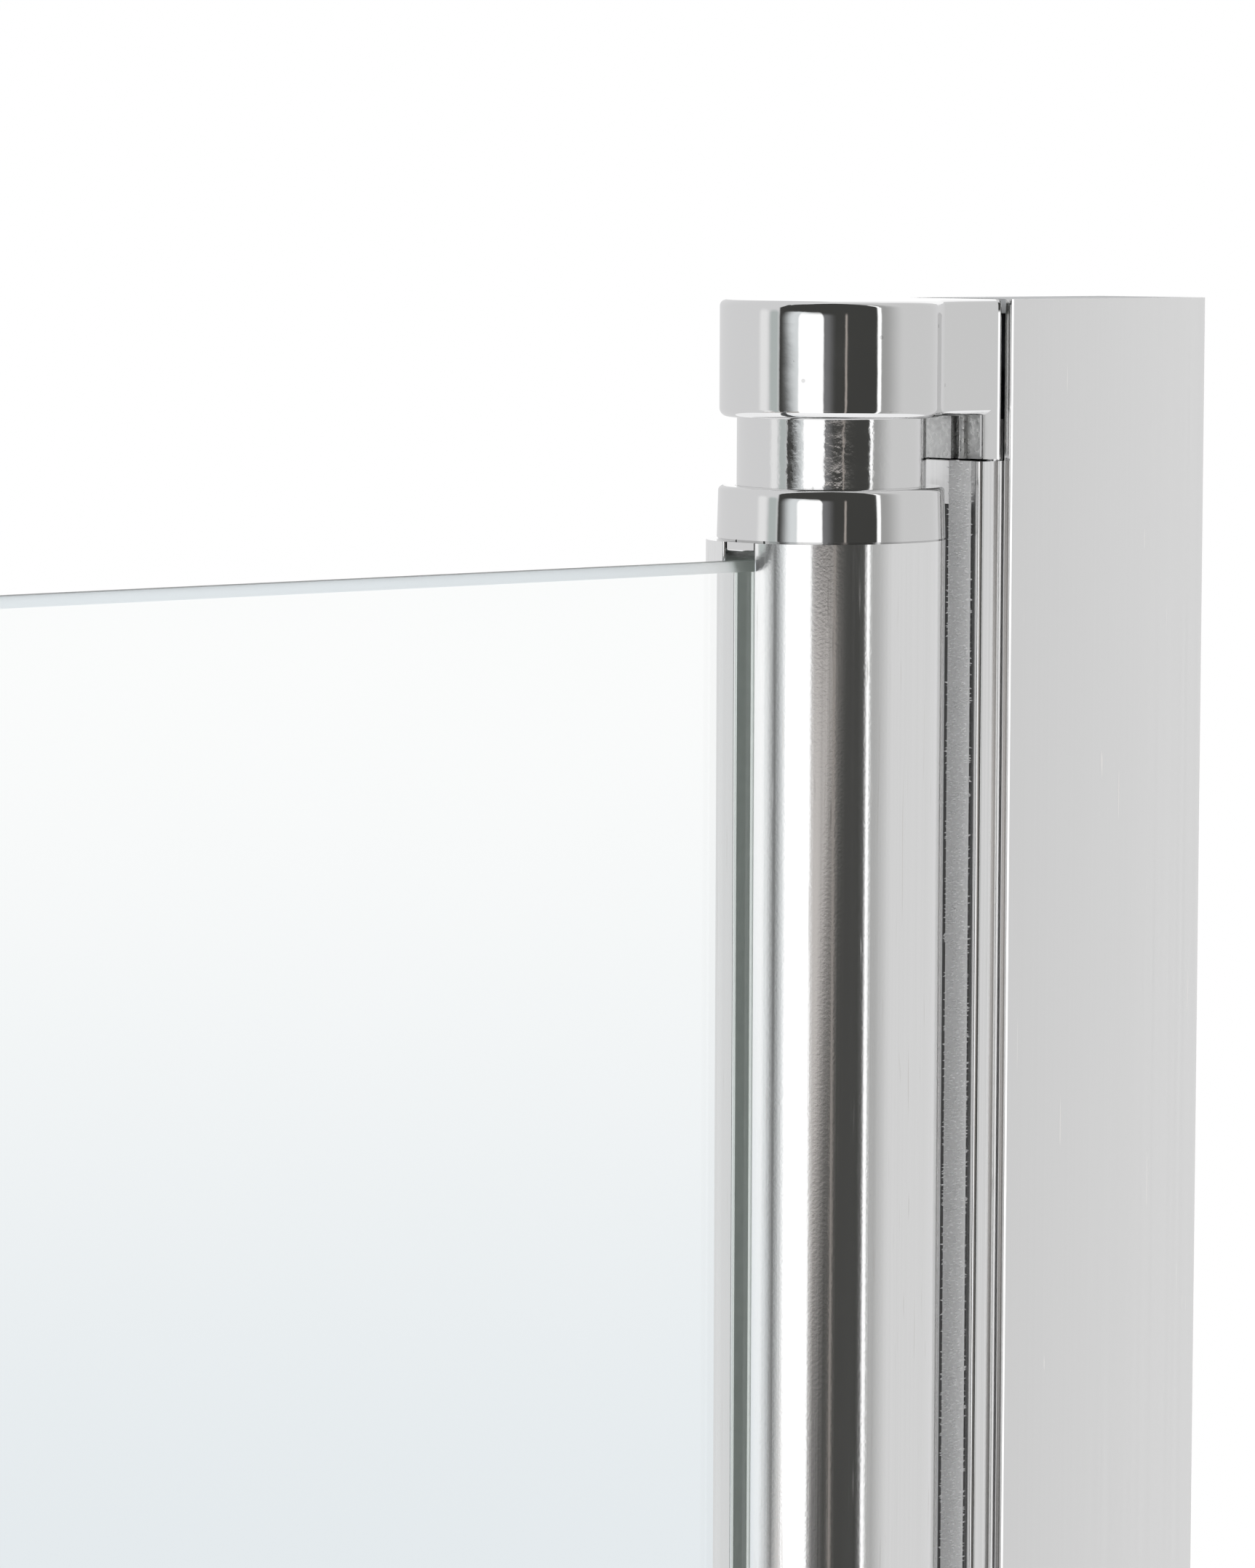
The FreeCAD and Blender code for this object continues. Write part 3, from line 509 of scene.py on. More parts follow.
def swept_normal(tree, name):
    """A bracket's normal, with the boss carried into the arm and a soft edge at the arm's end."""
    low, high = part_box(name)
    boss_radius = pivot.x - low.x
    arm_end = packed_arm_end(name) + ARM_LENGTHENING - pivot.x
    place = xyz(tree, object_place(tree))
    across = minus(tree, place["X"], pivot.x)
    turn = ramp(tree, across, BLEND_START, BLEND_END, math.asin(BLEND_START / boss_radius), 0.0)
    at_edge = maths(tree, "GREATER_THAN", across, arm_end - EDGE_WIDTH)
    turn = maths(tree, "MULTIPLY_ADD", at_edge, EDGE_TURN, turn)
    true_normal = tree.nodes.new("ShaderNodeNewGeometry").outputs["Normal"]
    rise = xyz(tree, true_normal)["Z"]
    level = maths(tree, "SQRT", minus(tree, 1.0, product(tree, rise, rise)))
    side = maths(tree, "SIGN", place["Y"])
    swept = step(tree, "ShaderNodeCombineXYZ", X=product(tree, level, maths(tree, "SINE", turn)),
                 Y=product(tree, level, maths(tree, "COSINE", turn), side), Z=rise)
    margin = Vector((0, MM, MM))
    outside = inside_box(tree, Vector((pivot.x + BLEND_START, low.y, low.z)) - margin,
                         Vector((pivot.x + arm_end - END_FACE, high.y, high.z)) + margin)
    on_side = maths(tree, "GREATER_THAN", maths(tree, "ABSOLUTE", place["Y"]), ARM_SIDE)
    return step(tree, "ShaderNodeMix", {"data_type": "VECTOR"}, Factor=product(tree, outside, on_side),
                A=true_normal, B=swept)


print("arms are swept to", round((packed_arm_end("top_bracket") + ARM_LENGTHENING - pivot.x) / MM, 2),
      "mm from the hinge axis")

# %% [markdown]
# ## Chrome
# The brackets and caps are cast in zinc, polished and chrome plated. A metal shader with a very low
# roughness gives the mirror. Polishing wears a casting down towards its edges, so a bump bends the
# reflections there into dark ends. The notch under the arm keeps its grey cast skin. The neck is rougher,
# so it takes the same ripple at a finer scale and with more height, which breaks the reflected edges
# into small steps.

# %% Chrome finishes
CLEAN_CHROME = (0.80, 0.80, 0.80, 1)
DUSTY_CHROME = (0.62, 0.62, 0.62, 1)
AS_CAST = (0.56, 0.57, 0.56, 1)
CAST_RELIEF = 6.0
PITS_PER_METRE = 1500.0
NOTCH_START = 15 * MM
NOTCH_END = 21.6 * MM
NOTCH_HALF = 7.35 * MM
NOTCH_CEILING = 4.5 * MM
NOTCH_MARGIN = 0.1 * MM
CROWN_SLOPE = 0.20
BRACKET_CROWN = 3.0 * MM
CAP_CROWN = 2.2 * MM
CASTING = (190.0, 0.02, 0.06, 0.014 * MM, 0.06)


def new_finish(name, **values):
    """A material with one Principled shader, whose plain sockets are set by name."""
    material = bpy.data.materials.new(name)
    material.use_nodes = True
    tree = material.node_tree
    shader = next(node for node in tree.nodes if node.type == "BSDF_PRINCIPLED")
    for label, value in values.items():
        shader.inputs[label.replace("_", " ")].default_value = value
    return material, tree, shader


def dress(tree, shader, colour, roughness, height, depth, base=None):
    """Feeds a shader, and raises the surface by the height, which is 0 to 1, times a depth in metres."""
    feed(tree, shader.inputs["Base Color"], colour)
    feed(tree, shader.inputs["Roughness"], roughness)
    under = {"Normal": base} if base else {}
    raised = step(tree, "ShaderNodeBump", Strength=1.0, Distance=depth, Height=height, **under)
    tree.links.new(raised, shader.inputs["Normal"])


def crown(tree, low, high, reach):
    """How far polishing has worn a casting down towards its upper and lower edges, in metres."""
    off = maths(tree, "ABSOLUTE", minus(tree, xyz(tree, object_place(tree))["Z"], (low + high) / 2))
    past = maths(tree, "MAXIMUM", minus(tree, off, (high - low) / 2 - reach), 0.0)
    return product(tree, past, past, -CROWN_SLOPE / (2 * reach))


def notch_box(name):
    """The box of the notch under a bracket's arm, where the casting is left unpolished."""
    low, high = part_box(name)
    outer, inner = (low.z, high.z) if low.z < middle.z else (high.z, low.z)
    ceiling = outer + math.copysign(NOTCH_CEILING, inner - outer)
    z0, z1 = sorted((inner, ceiling))
    return (Vector((pivot.x + NOTCH_START, -NOTCH_HALF, z0 - NOTCH_MARGIN)),
            Vector((pivot.x + NOTCH_END, NOTCH_HALF, z1)))


def chrome(name, per_metre, smooth, dull, depth, fine, casting=None, reach=0.0, arm=False):
    """Plated metal with a broad ripple and fine pitting and, on a casting, its worn edges and its arm."""
    material, tree, shader = new_finish(name, Metallic=1.0)
    ripple = place_group(tree, plating_ripple, Per_Metre=per_metre, Smooth=smooth, Dull=dull)
    pits = place_group(tree, plating_ripple, Per_Metre=PITS_PER_METRE)
    dust = place_group(tree, specks, Per_Metre=350.0, Size=0.10)
    colour = blend_colours(tree, dust["Mask"], CLEAN_CHROME, DUSTY_CHROME)
    roughness = ripple["Roughness"]
    height = maths(tree, "MULTIPLY_ADD", pits["Height"], fine, ripple["Height"])
    if arm:
        cast = inside_box(tree, *notch_box(casting))
        skin = place_group(tree, plating_ripple, Per_Metre=1300.0, Smooth=0.22, Dull=0.5)
        mottled = blend_colours(tree, skin["Height"], AS_CAST, CLEAN_CHROME)
        colour = blend_colours(tree, cast, colour, mottled)
        roughness = maths(tree, "MAXIMUM", roughness, product(tree, cast, skin["Roughness"]))
        height = maths(tree, "ADD", height, product(tree, skin["Height"], CAST_RELIEF, cast))
    if casting:
        low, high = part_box(casting)
        height = maths(tree, "MULTIPLY_ADD", crown(tree, low.z, high.z, reach), 1 / depth, height)
    dress(tree, shader, colour, roughness, height, depth, swept_normal(tree, casting) if arm else None)
    return material


top_cap_chrome = chrome("top_cap_chrome", *CASTING, "top_cap", CAP_CROWN)
low_cap_chrome = chrome("low_cap_chrome", *CASTING, "bottom_cap", CAP_CROWN)
top_bracket_chrome = chrome("top_bracket_chrome", *CASTING, "top_bracket", BRACKET_CROWN, arm=True)
low_bracket_chrome = chrome("low_bracket_chrome", *CASTING, "bottom_bracket", BRACKET_CROWN, arm=True)
neck_chrome = chrome("neck_chrome", 420.0, 0.04, 0.10, 0.017 * MM, 0.55)
print("chrome finishes:", top_cap_chrome.name, low_cap_chrome.name, top_bracket_chrome.name,
      low_bracket_chrome.name, neck_chrome.name)

# %% [markdown]
# ## Aluminium
# The column is polished aluminium: brighter than the wall rail, but it still shows the lines of the die,
# a fine grain and a few handling scratches. The rail is blasted and anodised to a soft grey, with a
# burnished lip along its open edge. The profile between them gets painted shade: a dark band on the land
# between the pile strips, beside the column. One function makes all three finishes, and lip, painted
# shade and grain are options of it.

# %% Aluminium finishes
RUBBED = (0.82, 0.81, 0.80, 1)
RUBS_PER_METRE = 2200.0
RUB_DULLING = 0.12
GRAIN_PER_METRE = 2400.0
# The colour of the painted shade on the land between the pile strips, and its roughness.
PAINTED_SHADE = (0.16, 0.16, 0.16, 1)
PAINTED_SHADE_ROUGHNESS = 0.6
BURNISHED = (0.92, 0.92, 0.92, 1)
SATIN = (0.66, 0.66, 0.66, 1)
LIP_WIDTH = 0.7 * MM
LIP_SLOPE = 1.36
LIP_ROUGHNESS = 0.12
LAND_HALF = 2.9 * MM


def lip_rise(tree, edge):
    """The height of a chamfer that climbs from an edge, in metres."""
    inwards = maths(tree, "MAXIMUM", minus(tree, xyz(tree, object_place(tree))["X"], edge), 0.0)
    return product(tree, maths(tree, "MINIMUM", inwards, LIP_WIDTH), LIP_SLOPE)


def aluminium(name, lines_per_metre, smooth, dull, depth, marks=0.0, clean=BURNISHED, streak=0.93,
              grain=0.0, lip_box=None, painted_shade_box=None):
    material, tree, shader = new_finish(name, Metallic=1.0)
    lines = place_group(tree, drawn_lines, Per_Metre=lines_per_metre, Smooth=smooth, Dull=dull)
    worn = place_group(tree, rub_marks, Per_Metre=RUBS_PER_METRE, Amount=marks)
    streaked = tuple(streak * part for part in clean[:3]) + (1,)
    colour = blend_colours(tree, ramp(tree, lines["Height"], 0.35, 0.65), streaked, clean)
    colour = blend_colours(tree, worn["Mask"], colour, RUBBED)
    roughness = maths(tree, "ADD", lines["Roughness"], product(tree, worn["Mask"], RUB_DULLING))
    height = lines["Height"]
    if grain:
        fine = place_group(tree, plating_ripple, Per_Metre=GRAIN_PER_METRE)
        height = maths(tree, "MULTIPLY_ADD", fine["Height"], grain / depth, height)
    if lip_box:
        lip = inside_box(tree, *lip_box)
        colour = blend_colours(tree, lip, colour, BURNISHED)
        roughness = maths(tree, "MINIMUM", roughness, minus(tree, 1.0 + LIP_ROUGHNESS, lip))
        height = maths(tree, "MULTIPLY_ADD", lip_rise(tree, lip_box[0].x + MM), 1 / depth, height)
    # Painted shade: the land between the pile strips is darkened for the shade that falls there beside the
    # column.
    if painted_shade_box:
        painted_shade = inside_box(tree, *painted_shade_box)
        colour = blend_colours(tree, painted_shade, colour, PAINTED_SHADE)
        roughness = maths(tree, "MAXIMUM", roughness, product(tree, painted_shade, PAINTED_SHADE_ROUGHNESS))
    dress(tree, shader, colour, roughness, height, depth)
    return material


rail_low, rail_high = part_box("wall_profile")
head_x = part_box("adjusting_profile")[0].x
lips = (rail_low - Vector((1, 1, 1)) * MM,
        Vector((rail_low.x + LIP_WIDTH, rail_high.y + MM, rail_high.z + MM)))
# The land between the pile strips, beside the column, where the shade is painted.
land = (Vector((head_x - MM, -LAND_HALF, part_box("bottom_cap")[0].z)),
        Vector((head_x + 0.1 * MM, LAND_HALF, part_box("top_cap")[1].z - 3 * MM)))
polished_aluminium = aluminium("polished_aluminium", 2600.0, 0.09, 0.15, 0.003 * MM, marks=0.10,
                               streak=0.98, grain=0.005 * MM)
bright_aluminium = aluminium("bright_aluminium", 2200.0, 0.12, 0.22, 0.003 * MM, marks=0.06, painted_shade_box=land)
satin_aluminium = aluminium("satin_aluminium", 1800.0, 0.36, 0.40, 0.001 * MM, clean=SATIN, streak=0.985,
                            lip_box=lips)
print("aluminium finishes:", polished_aluminium.name, bright_aluminium.name, satin_aluminium.name)

# %% [markdown]
# ## Steel, plastic and rubber
# The spindles and screws are stainless steel. The bushes and lift cams are white acetal. Plugs and
# covers are moulded in grey, and the gaskets and setting block are rubber. These pieces share one
# recipe: a fine mottle drives both the colour and the roughness. The gaskets glow very faintly, for the
# light that the edge of the pane carries to them.

# %% Moulded finishes and steel
def moulded(name, dark, light, per_metre, smooth, dull, depth, **values):
    """A mottled finish between two colours. The depth of the mottle is in millimetres."""
    material, tree, shader = new_finish(name, **values)
    mottle = place_group(tree, plating_ripple, Per_Metre=per_metre, Smooth=smooth, Dull=dull)
    colour = blend_colours(tree, mottle["Height"], dark + (1,), light + (1,))
    dress(tree, shader, colour, mottle["Roughness"], mottle["Height"], depth * MM)
    return material


screw_steel = moulded("screw_steel", (0.60, 0.59, 0.57), (0.70, 0.69, 0.67), 900.0, 0.18, 0.30, 0.004,
                      Metallic=1.0)
spindle_steel = moulded("spindle_steel", (0.58, 0.57, 0.56), (0.66, 0.65, 0.64), 1400.0, 0.16, 0.26, 0.003,
                        Metallic=1.0)
acetal = moulded("acetal", (0.84, 0.84, 0.82), (0.90, 0.90, 0.88), 500.0, 0.35, 0.45, 0.004)
grey_plastic = moulded("grey_plastic", (0.46, 0.47, 0.48), (0.52, 0.53, 0.54), 1500.0, 0.42, 0.55, 0.010)
cover_plastic = moulded("cover_plastic", (0.62, 0.63, 0.64), (0.68, 0.69, 0.70), 1500.0, 0.35, 0.48, 0.008)
gasket_rubber = moulded("gasket_rubber", (0.70, 0.76, 0.73), (0.80, 0.85, 0.82), 700.0, 0.35, 0.55, 0.010,
                        Emission_Color=(0.97, 1.0, 0.97, 1), Emission_Strength=0.03)
setting_rubber = moulded("setting_rubber", (0.03, 0.03, 0.03), (0.05, 0.05, 0.05), 900.0, 0.55, 0.7, 0.012)
pile_fibre = moulded("pile_fibre", (0.78, 0.785, 0.79), (1.0, 1.0, 1.0), 2400.0, 0.85, 0.95, 0.05,
                     Sheen_Weight=0.4)
print("moulded finishes made")

# %% [markdown]
# ## Glass and clear seal
# Toughened glass is close to invisible from the front and shows itself at its ground edges. Full
# transmission with the index of window glass does that, and a mask makes the edges rougher. Lamps would
# leave a black shadow under it, so shadow rays pass through a transparent shader. The seal along the
# foot is soft vinyl, which is milky, so it lets less than half of the light straight through.

# %% Clear finishes
GLASS_INDEX = 1.5
SMEARS_PER_METRE = 30.0
GROUND_ROUGHNESS = 0.45
FACE_SKIN = 0.02 * MM


def between_faces(tree, half_thickness):
    """A mask of the ground edges: everything that lies between the two faces of the pane."""
    off = maths(tree, "ABSOLUTE", xyz(tree, object_place(tree))["Y"])
    return maths(tree, "LESS_THAN", off, half_thickness - FACE_SKIN)


def clear(name, smear_from, smear_to, smooth, dull, passing=1.0, half_thickness=0.0, ground=WHITE):
    material, tree, shader = new_finish(name, Transmission_Weight=passing, IOR=GLASS_INDEX)
    smear = place_group(tree, plating_ripple, Per_Metre=SMEARS_PER_METRE, Smooth=smooth, Dull=dull)
    colour = blend_colours(tree, smear["Height"], smear_from, smear_to)
    roughness = smear["Roughness"]
    if half_thickness:
        edge = between_faces(tree, half_thickness)
        colour = blend_colours(tree, edge, colour, ground)
        roughness = maths(tree, "MAXIMUM", roughness, product(tree, edge, GROUND_ROUGHNESS))
    feed(tree, shader.inputs["Base Color"], colour)
    feed(tree, shader.inputs["Roughness"], roughness)
    rays = tree.nodes.new("ShaderNodeLightPath").outputs
    through = tree.nodes.new("ShaderNodeBsdfTransparent")
    lit = mix_shaders(tree, rays["Is Shadow Ray"], shader.outputs[0], through.outputs[0])
    tree.links.new(lit, tree.nodes["Material Output"].inputs["Surface"])
    return material


clear_glass = clear("clear_glass", (0.97, 0.985, 0.98, 1), (0.985, 0.992, 0.99, 1), 0.0, 0.004,
                    half_thickness=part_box("glass_panel")[1].y, ground=(0.93, 0.955, 0.945, 1))
clear_seal = clear("clear_seal", (0.90, 0.92, 0.92, 1), (0.96, 0.97, 0.97, 1), 0.28, 0.40, passing=0.4)
print("clear finishes:", clear_glass.name, clear_seal.name)

# %% [markdown]
# ## The brackets
# The sides of a bracket's arm run on nearly to the rail, and only a thin dark joint is left between
# them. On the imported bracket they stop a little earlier. A copy of its mesh is mended by moving the
# points on that step towards the wall. Each packed triangle has points of its own, so they are merged
# first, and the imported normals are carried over, because chrome shows every wrong normal.

# %% Lengthen the arms
WELD = 0.001 * MM
TOUCH = 0.01 * MM


def merged_copy(name, new_name, material):
    """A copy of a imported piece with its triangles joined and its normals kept."""
    source = nodes[name].data
    places = {}
    index = []
    for vertex in source.vertices:
        key = tuple(round(part / WELD) for part in vertex.co)
        index.append(places.setdefault(key, (len(places), vertex.co))[0])
    faces = []
    normals = []
    for face in source.polygons:
        corners = [index[i] for i in face.vertices]
        if len(set(corners)) == len(corners):
            faces.append(corners)
            normals += [source.corner_normals[i].vector for i in face.loop_indices]
    mesh = bpy.data.meshes.new(new_name)
    mesh.from_pydata([place for number, place in places.values()], [], faces)
    mesh.shade_smooth()
    mesh.normals_split_custom_set(normals)
    mesh.materials.append(material)
    return new_object(new_name, mesh)


def stand_in(piece, node, body):
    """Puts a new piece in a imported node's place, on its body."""
    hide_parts(node)
    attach(piece, body)


for name, finish in (("top_bracket", top_bracket_chrome), ("bottom_bracket", low_bracket_chrome)):
    bracket = merged_copy(name, name + "_casting", finish)
    arm_end = packed_arm_end(name)
    step_points = [v for v in bracket.data.vertices
                   if abs(v.co.x - arm_end) < TOUCH and abs(v.co.y) > ARM_SIDE]
    for vertex in step_points:
        vertex.co.x += ARM_LENGTHENING
    stand_in(bracket, name, "hanger")
    print(bracket.name, "has", len(bracket.data.polygons), "faces and", len(step_points), "moved points")

# %% [markdown]
# ## The column
# The column is one aluminium extrusion, drawn out a little towards the glass, so that its sides run
# round to the slot without a hollow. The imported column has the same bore, screw ports and slot, with
# small square jaws beside the glass. Moving single points of a mesh is slow work, but an extrusion is
# only a section and a length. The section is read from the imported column's upper end, its outside is
# redrawn as two half circles with straight flanks between them, and it is drawn out again.

# %% Redraw the column's section
COLUMN_STRETCH = 2.0 * MM
SLOT_EDGE_ROUND = 0.4 * MM
HALF_CIRCLE_STEPS = 72
ROUND_STEPS = 6
SHARP_ANGLE = math.radians(25)


def end_loops(name, height):
    """The outlines of a profile's end at a height, each a loop of points about the hinge axis."""
    shape = bmesh.new()
    shape.from_mesh(nodes[name].data)
    bmesh.ops.remove_doubles(shape, verts=shape.verts, dist=WELD)
    shape.normal_update()
    beside = {}
    for edge in shape.edges:
        level = all(abs(vertex.co.z - height) < TOUCH for vertex in edge.verts)
        if level and {abs(face.normal.z) > 0.9 for face in edge.link_faces} == {True, False}:
            first, second = edge.verts
            beside.setdefault(first, []).append(second)
            beside.setdefault(second, []).append(first)
    loops = []
    while beside:
        vertex = next(iter(beside))
        loop = []
        while vertex in beside:
            loop.append((vertex.co.x - pivot.x, vertex.co.y - pivot.y))
            ahead = [other for other in beside.pop(vertex) if other in beside]
            vertex = ahead[0] if ahead else None
        loops.append(loop)
    shape.free()
    return loops


def arc(centre_x, centre_y, radius, start, end, steps):
    """Points along an arc between two angles."""
    turns = [start + (end - start) * i / steps for i in range(steps + 1)]
    return [(centre_x + radius * math.cos(turn), centre_y + radius * math.sin(turn)) for turn in turns]


def drawn_out_outline(loop, radius, slot_half):
    """The outline with its slot kept and everything outside the slot redrawn."""
    in_slot = [abs(y) < slot_half + TOUCH and x < 0 for x, y in loop]
    start = next(i for i in range(len(loop)) if in_slot[i] and not in_slot[i - 1])
    turned = loop[start:] + loop[:start]
    slot = turned[:sum(in_slot)]
    if slot[0][1] > 0:
        slot.reverse()
    middle_y = slot_half + SLOT_EDGE_ROUND
    inner = radius - SLOT_EDGE_ROUND
    middle_x = -COLUMN_STRETCH - math.sqrt(inner ** 2 - middle_y ** 2)
    lean = math.pi - math.asin(middle_y / inner)
    quarter = math.pi / 2
    rear_edge = arc(middle_x, middle_y, SLOT_EDGE_ROUND, 3 * quarter, lean, ROUND_STEPS)
    rear = arc(-COLUMN_STRETCH, 0, radius, lean, quarter, HALF_CIRCLE_STEPS // 2)
    wall_side = arc(0, 0, radius, quarter, -quarter, HALF_CIRCLE_STEPS)
    front = [(x, -y) for x, y in reversed(rear)]
    front_edge = [(x, -y) for x, y in reversed(rear_edge)]
    return rear_edge + rear[1:] + wall_side + front + front_edge[1:] + slot[1:-1]


def extrusion(name, loops, low, high, material):
    """A closed mesh from a section of loops about the hinge axis, between two heights."""
    shape = bmesh.new()
    rims = {low: [], high: []}
    for loop in loops:
        rings = {z: [shape.verts.new((x + pivot.x, y + pivot.y, z)) for x, y in loop] for z in rims}
        for i in range(len(loop)):
            side = shape.faces.new((rings[low][i - 1], rings[low][i], rings[high][i], rings[high][i - 1]))
            side.smooth = True
        for z, ring in rings.items():
            rims[z] += [shape.edges.get((ring[i - 1], ring[i])) for i in range(len(ring))]
    for edges in rims.values():
        bmesh.ops.triangle_fill(shape, use_beauty=True, edges=edges)
    bmesh.ops.recalc_face_normals(shape, faces=shape.faces)
    made = mesh_object(name, shape, material)
    made.data.set_sharp_from_angle(angle=SHARP_ANGLE)
    return made


section = end_loops("hinge_tube", tube_high.z)
section.sort(key=lambda loop: min(x for x, y in loop))
section[0] = drawn_out_outline(section[0], tube_high.y - pivot.y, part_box("rear_gasket")[1].y)
column = extrusion("column", section, tube_low.z, tube_high.z, polished_aluminium)
stand_in(column, "hinge_tube", "leaf")
print("column section has", [len(loop) for loop in section], "points and the column",
      len(column.data.polygons), "faces")

# %% [markdown]
# ## A way to grow repeated detail
# Geometry Nodes suit anything that repeats by a rule. Each tree below gets named inputs, and `grown`
# runs it once on a starting mesh and keeps the result as a plain mesh, because plain meshes are what
# the screen is made of in the end. The inputs are set by their identifiers before the first run.

# %% Geometry Nodes helpers
def geometry_tree(name, *sizes, **others):
    """An empty Geometry Nodes tree with a mesh in and out, named inputs for its sizes, and other inputs."""
    tree = bpy.data.node_groups.new(name, "GeometryNodeTree")
    inputs = {"Mesh": "Geometry", **dict.fromkeys(sizes, "Float"), **others}
    for label, kind in inputs.items():
        tree.interface.new_socket(label, in_out="INPUT", socket_type="NodeSocket" + kind)
    tree.interface.new_socket("Mesh", in_out="OUTPUT", socket_type="NodeSocketGeometry")
    return tree, tree.nodes.new("NodeGroupInput").outputs, tree.nodes.new("NodeGroupOutput").inputs


def join(tree, *meshes):
    node = tree.nodes.new("GeometryNodeJoinGeometry")
    for mesh in meshes:
        tree.links.new(mesh, node.inputs[0])
    return node.outputs[0]


def plain_result(tree, instances, finish):
    """The end of every tree: real geometry in place of instances, with its material."""
    solid = step(tree, "GeometryNodeRealizeInstances", Geometry=instances)
    return step(tree, "GeometryNodeSetMaterial", Geometry=solid, Material=finish)


def grown(start, tree, **values):
    """Runs a tree on a mesh object and keeps the result as the object's own mesh."""
    modifier = start.modifiers.new(tree.name, "NODES")
    modifier.node_group = tree
    for item in tree.interface.items_tree:
        label = item.name.replace(" ", "_")
        if item.in_out == "INPUT" and label in values:
            modifier[item.identifier] = values[label]
    graph = bpy.context.evaluated_depsgraph_get()
    mesh = bpy.data.meshes.new_from_object(start.evaluated_get(graph), depsgraph=graph)
    start.modifiers.remove(modifier)
    mesh.validate()
    start.data = mesh
    return start


print("Geometry Nodes helpers ready")

# %% [markdown]
# ## Pile seals
# Two strips of pile sit in grooves beside the column and keep the spray in. On the real strip, short
# fibres stand on a woven backing. A texture on a flat strip looks like paint from close by, so a tree
# scatters points over the face of each backing, stands a three-sided spike on every point and leans it
# at random. Three faces a fibre keep the whole strip light.

# %% Grow the pile
PILE_BACKING = 0.95 * MM
PILE_PER_SQUARE_METRE = 3.9e6
FIBRE_LENGTH = 0.62 * MM
FIBRE_RADIUS = 0.17 * MM
FIBRE_LEAN = 0.30
SHORTEST_FIBRE = 0.62
PILE_SEED = 7


def pile_tree():
    tree, given, result = geometry_tree("pile", "Per Square Metre", "Fibre Length", "Fibre Radius", "Lean",
                                        Seed="Int", Finish="Material")
    normal = tree.nodes.new("GeometryNodeInputNormal").outputs[0]
    face = step(tree, "FunctionNodeCompare", {"data_type": "FLOAT", "operation": "LESS_THAN"},
                A=xyz(tree, normal)["X"], B=-0.9)
    points = step(tree, "GeometryNodeDistributePointsOnFaces", Mesh=given["Mesh"], Selection=face,
                  Density=given["Per Square Metre"], Seed=given["Seed"])
    fibre = step(tree, "GeometryNodeMeshCone", {"fill_type": "NONE"}, Vertices=3, Radius_Top=0.0,
                 Radius_Bottom=given["Fibre Radius"], Depth=given["Fibre Length"])
    back = product(tree, given["Lean"], -1.0)
    turn = step(tree, "FunctionNodeRandomValue", {"data_type": "FLOAT_VECTOR"}, Seed=given["Seed"],
                Min=step(tree, "ShaderNodeCombineXYZ", X=back, Y=back, Z=-math.pi),
                Max=step(tree, "ShaderNodeCombineXYZ", X=given["Lean"], Y=given["Lean"], Z=math.pi))
    upright = step(tree, "FunctionNodeRotateRotation", {"rotation_space": "LOCAL"},
                   Rotation=points.node.outputs["Rotation"],
                   Rotate_By=step(tree, "FunctionNodeEulerToRotation", Euler=turn))
    size = step(tree, "FunctionNodeRandomValue", {"data_type": "FLOAT"}, Min=SHORTEST_FIBRE, Max=1.0,
                Seed=given["Seed"])
    fibres = step(tree, "GeometryNodeInstanceOnPoints", Points=points, Instance=fibre, Rotation=upright,
                  Scale=size)
    feed(tree, result["Mesh"], plain_result(tree, join(tree, given["Mesh"], fibres), given["Finish"]))
    return tree


def box_faces(shape, low, high):
    """Adds a box between two corners to a bmesh."""
    size = high - low
    for vertex in bmesh.ops.create_cube(shape, size=1.0)["verts"]:
        vertex.co = Vector([low[i] + (vertex.co[i] + 0.5) * size[i] for i in range(3)])


pile_low, pile_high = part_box("pile_seals")
strip_width = max(v.co.y for v in nodes["pile_seals"].data.vertices if v.co.y < 0) - pile_low.y
backing = bmesh.new()
for y in (pile_low.y, pile_high.y - strip_width):
    box_faces(backing, Vector((pile_high.x - PILE_BACKING, y, pile_low.z)),
              Vector((pile_high.x, y + strip_width, pile_high.z)))
pile = grown(mesh_object("pile_brush", backing), pile_tree(), Per_Square_Metre=PILE_PER_SQUARE_METRE,
             Fibre_Length=FIBRE_LENGTH, Fibre_Radius=FIBRE_RADIUS, Lean=FIBRE_LEAN, Seed=PILE_SEED,
             Finish=pile_fibre)
stand_in(pile, "pile_seals", "hanger")
print("pile has", len(pile.data.polygons), "faces and strips", round(strip_width / MM, 2), "mm wide")

# %% [markdown]
# ## Screws
# Countersunk screws hold the caps and brackets, and pan head screws lock the width. One tree cuts a
# screw from a turned head, a cross recess and a thread wound along a spiral, and repeats it on points.
# Each point carries the direction that its screw's head faces, so one tree serves screws that point
# up, down and sideways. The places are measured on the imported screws, which these stand in for.

# %% Make one screw and repeat it
THREAD_PITCH = 1.1 * MM
THREAD_RIDGE = 0.22 * MM
RECESS_LENGTH = 1.2
RECESS_WIDTH = 0.28
RECESS_DEPTH = 0.6
LOCK_SPACING = 0.55
SCREW_SIZES = ("Shank_Radius", "Length", "Head_Low_Radius", "Head_Top_Radius", "Head_Height")
SCREW_SETS = (
    # piece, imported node, body, whether the heads face the rear, and the sizes in that order in mm
    ("cap_screw_set", "cap_screws", "leaf", False, (1.25, 14, 1.25, 2.75, 1.4)),
    ("bracket_screw_set", "bracket_screws", "hanger", False, (1.7, 20, 1.7, 2.75, 1.4)),
    ("lock_screw_set", "lock_screws", "hanger", True, (1.7, 11, 3.6, 2.9, 2.0)),
)


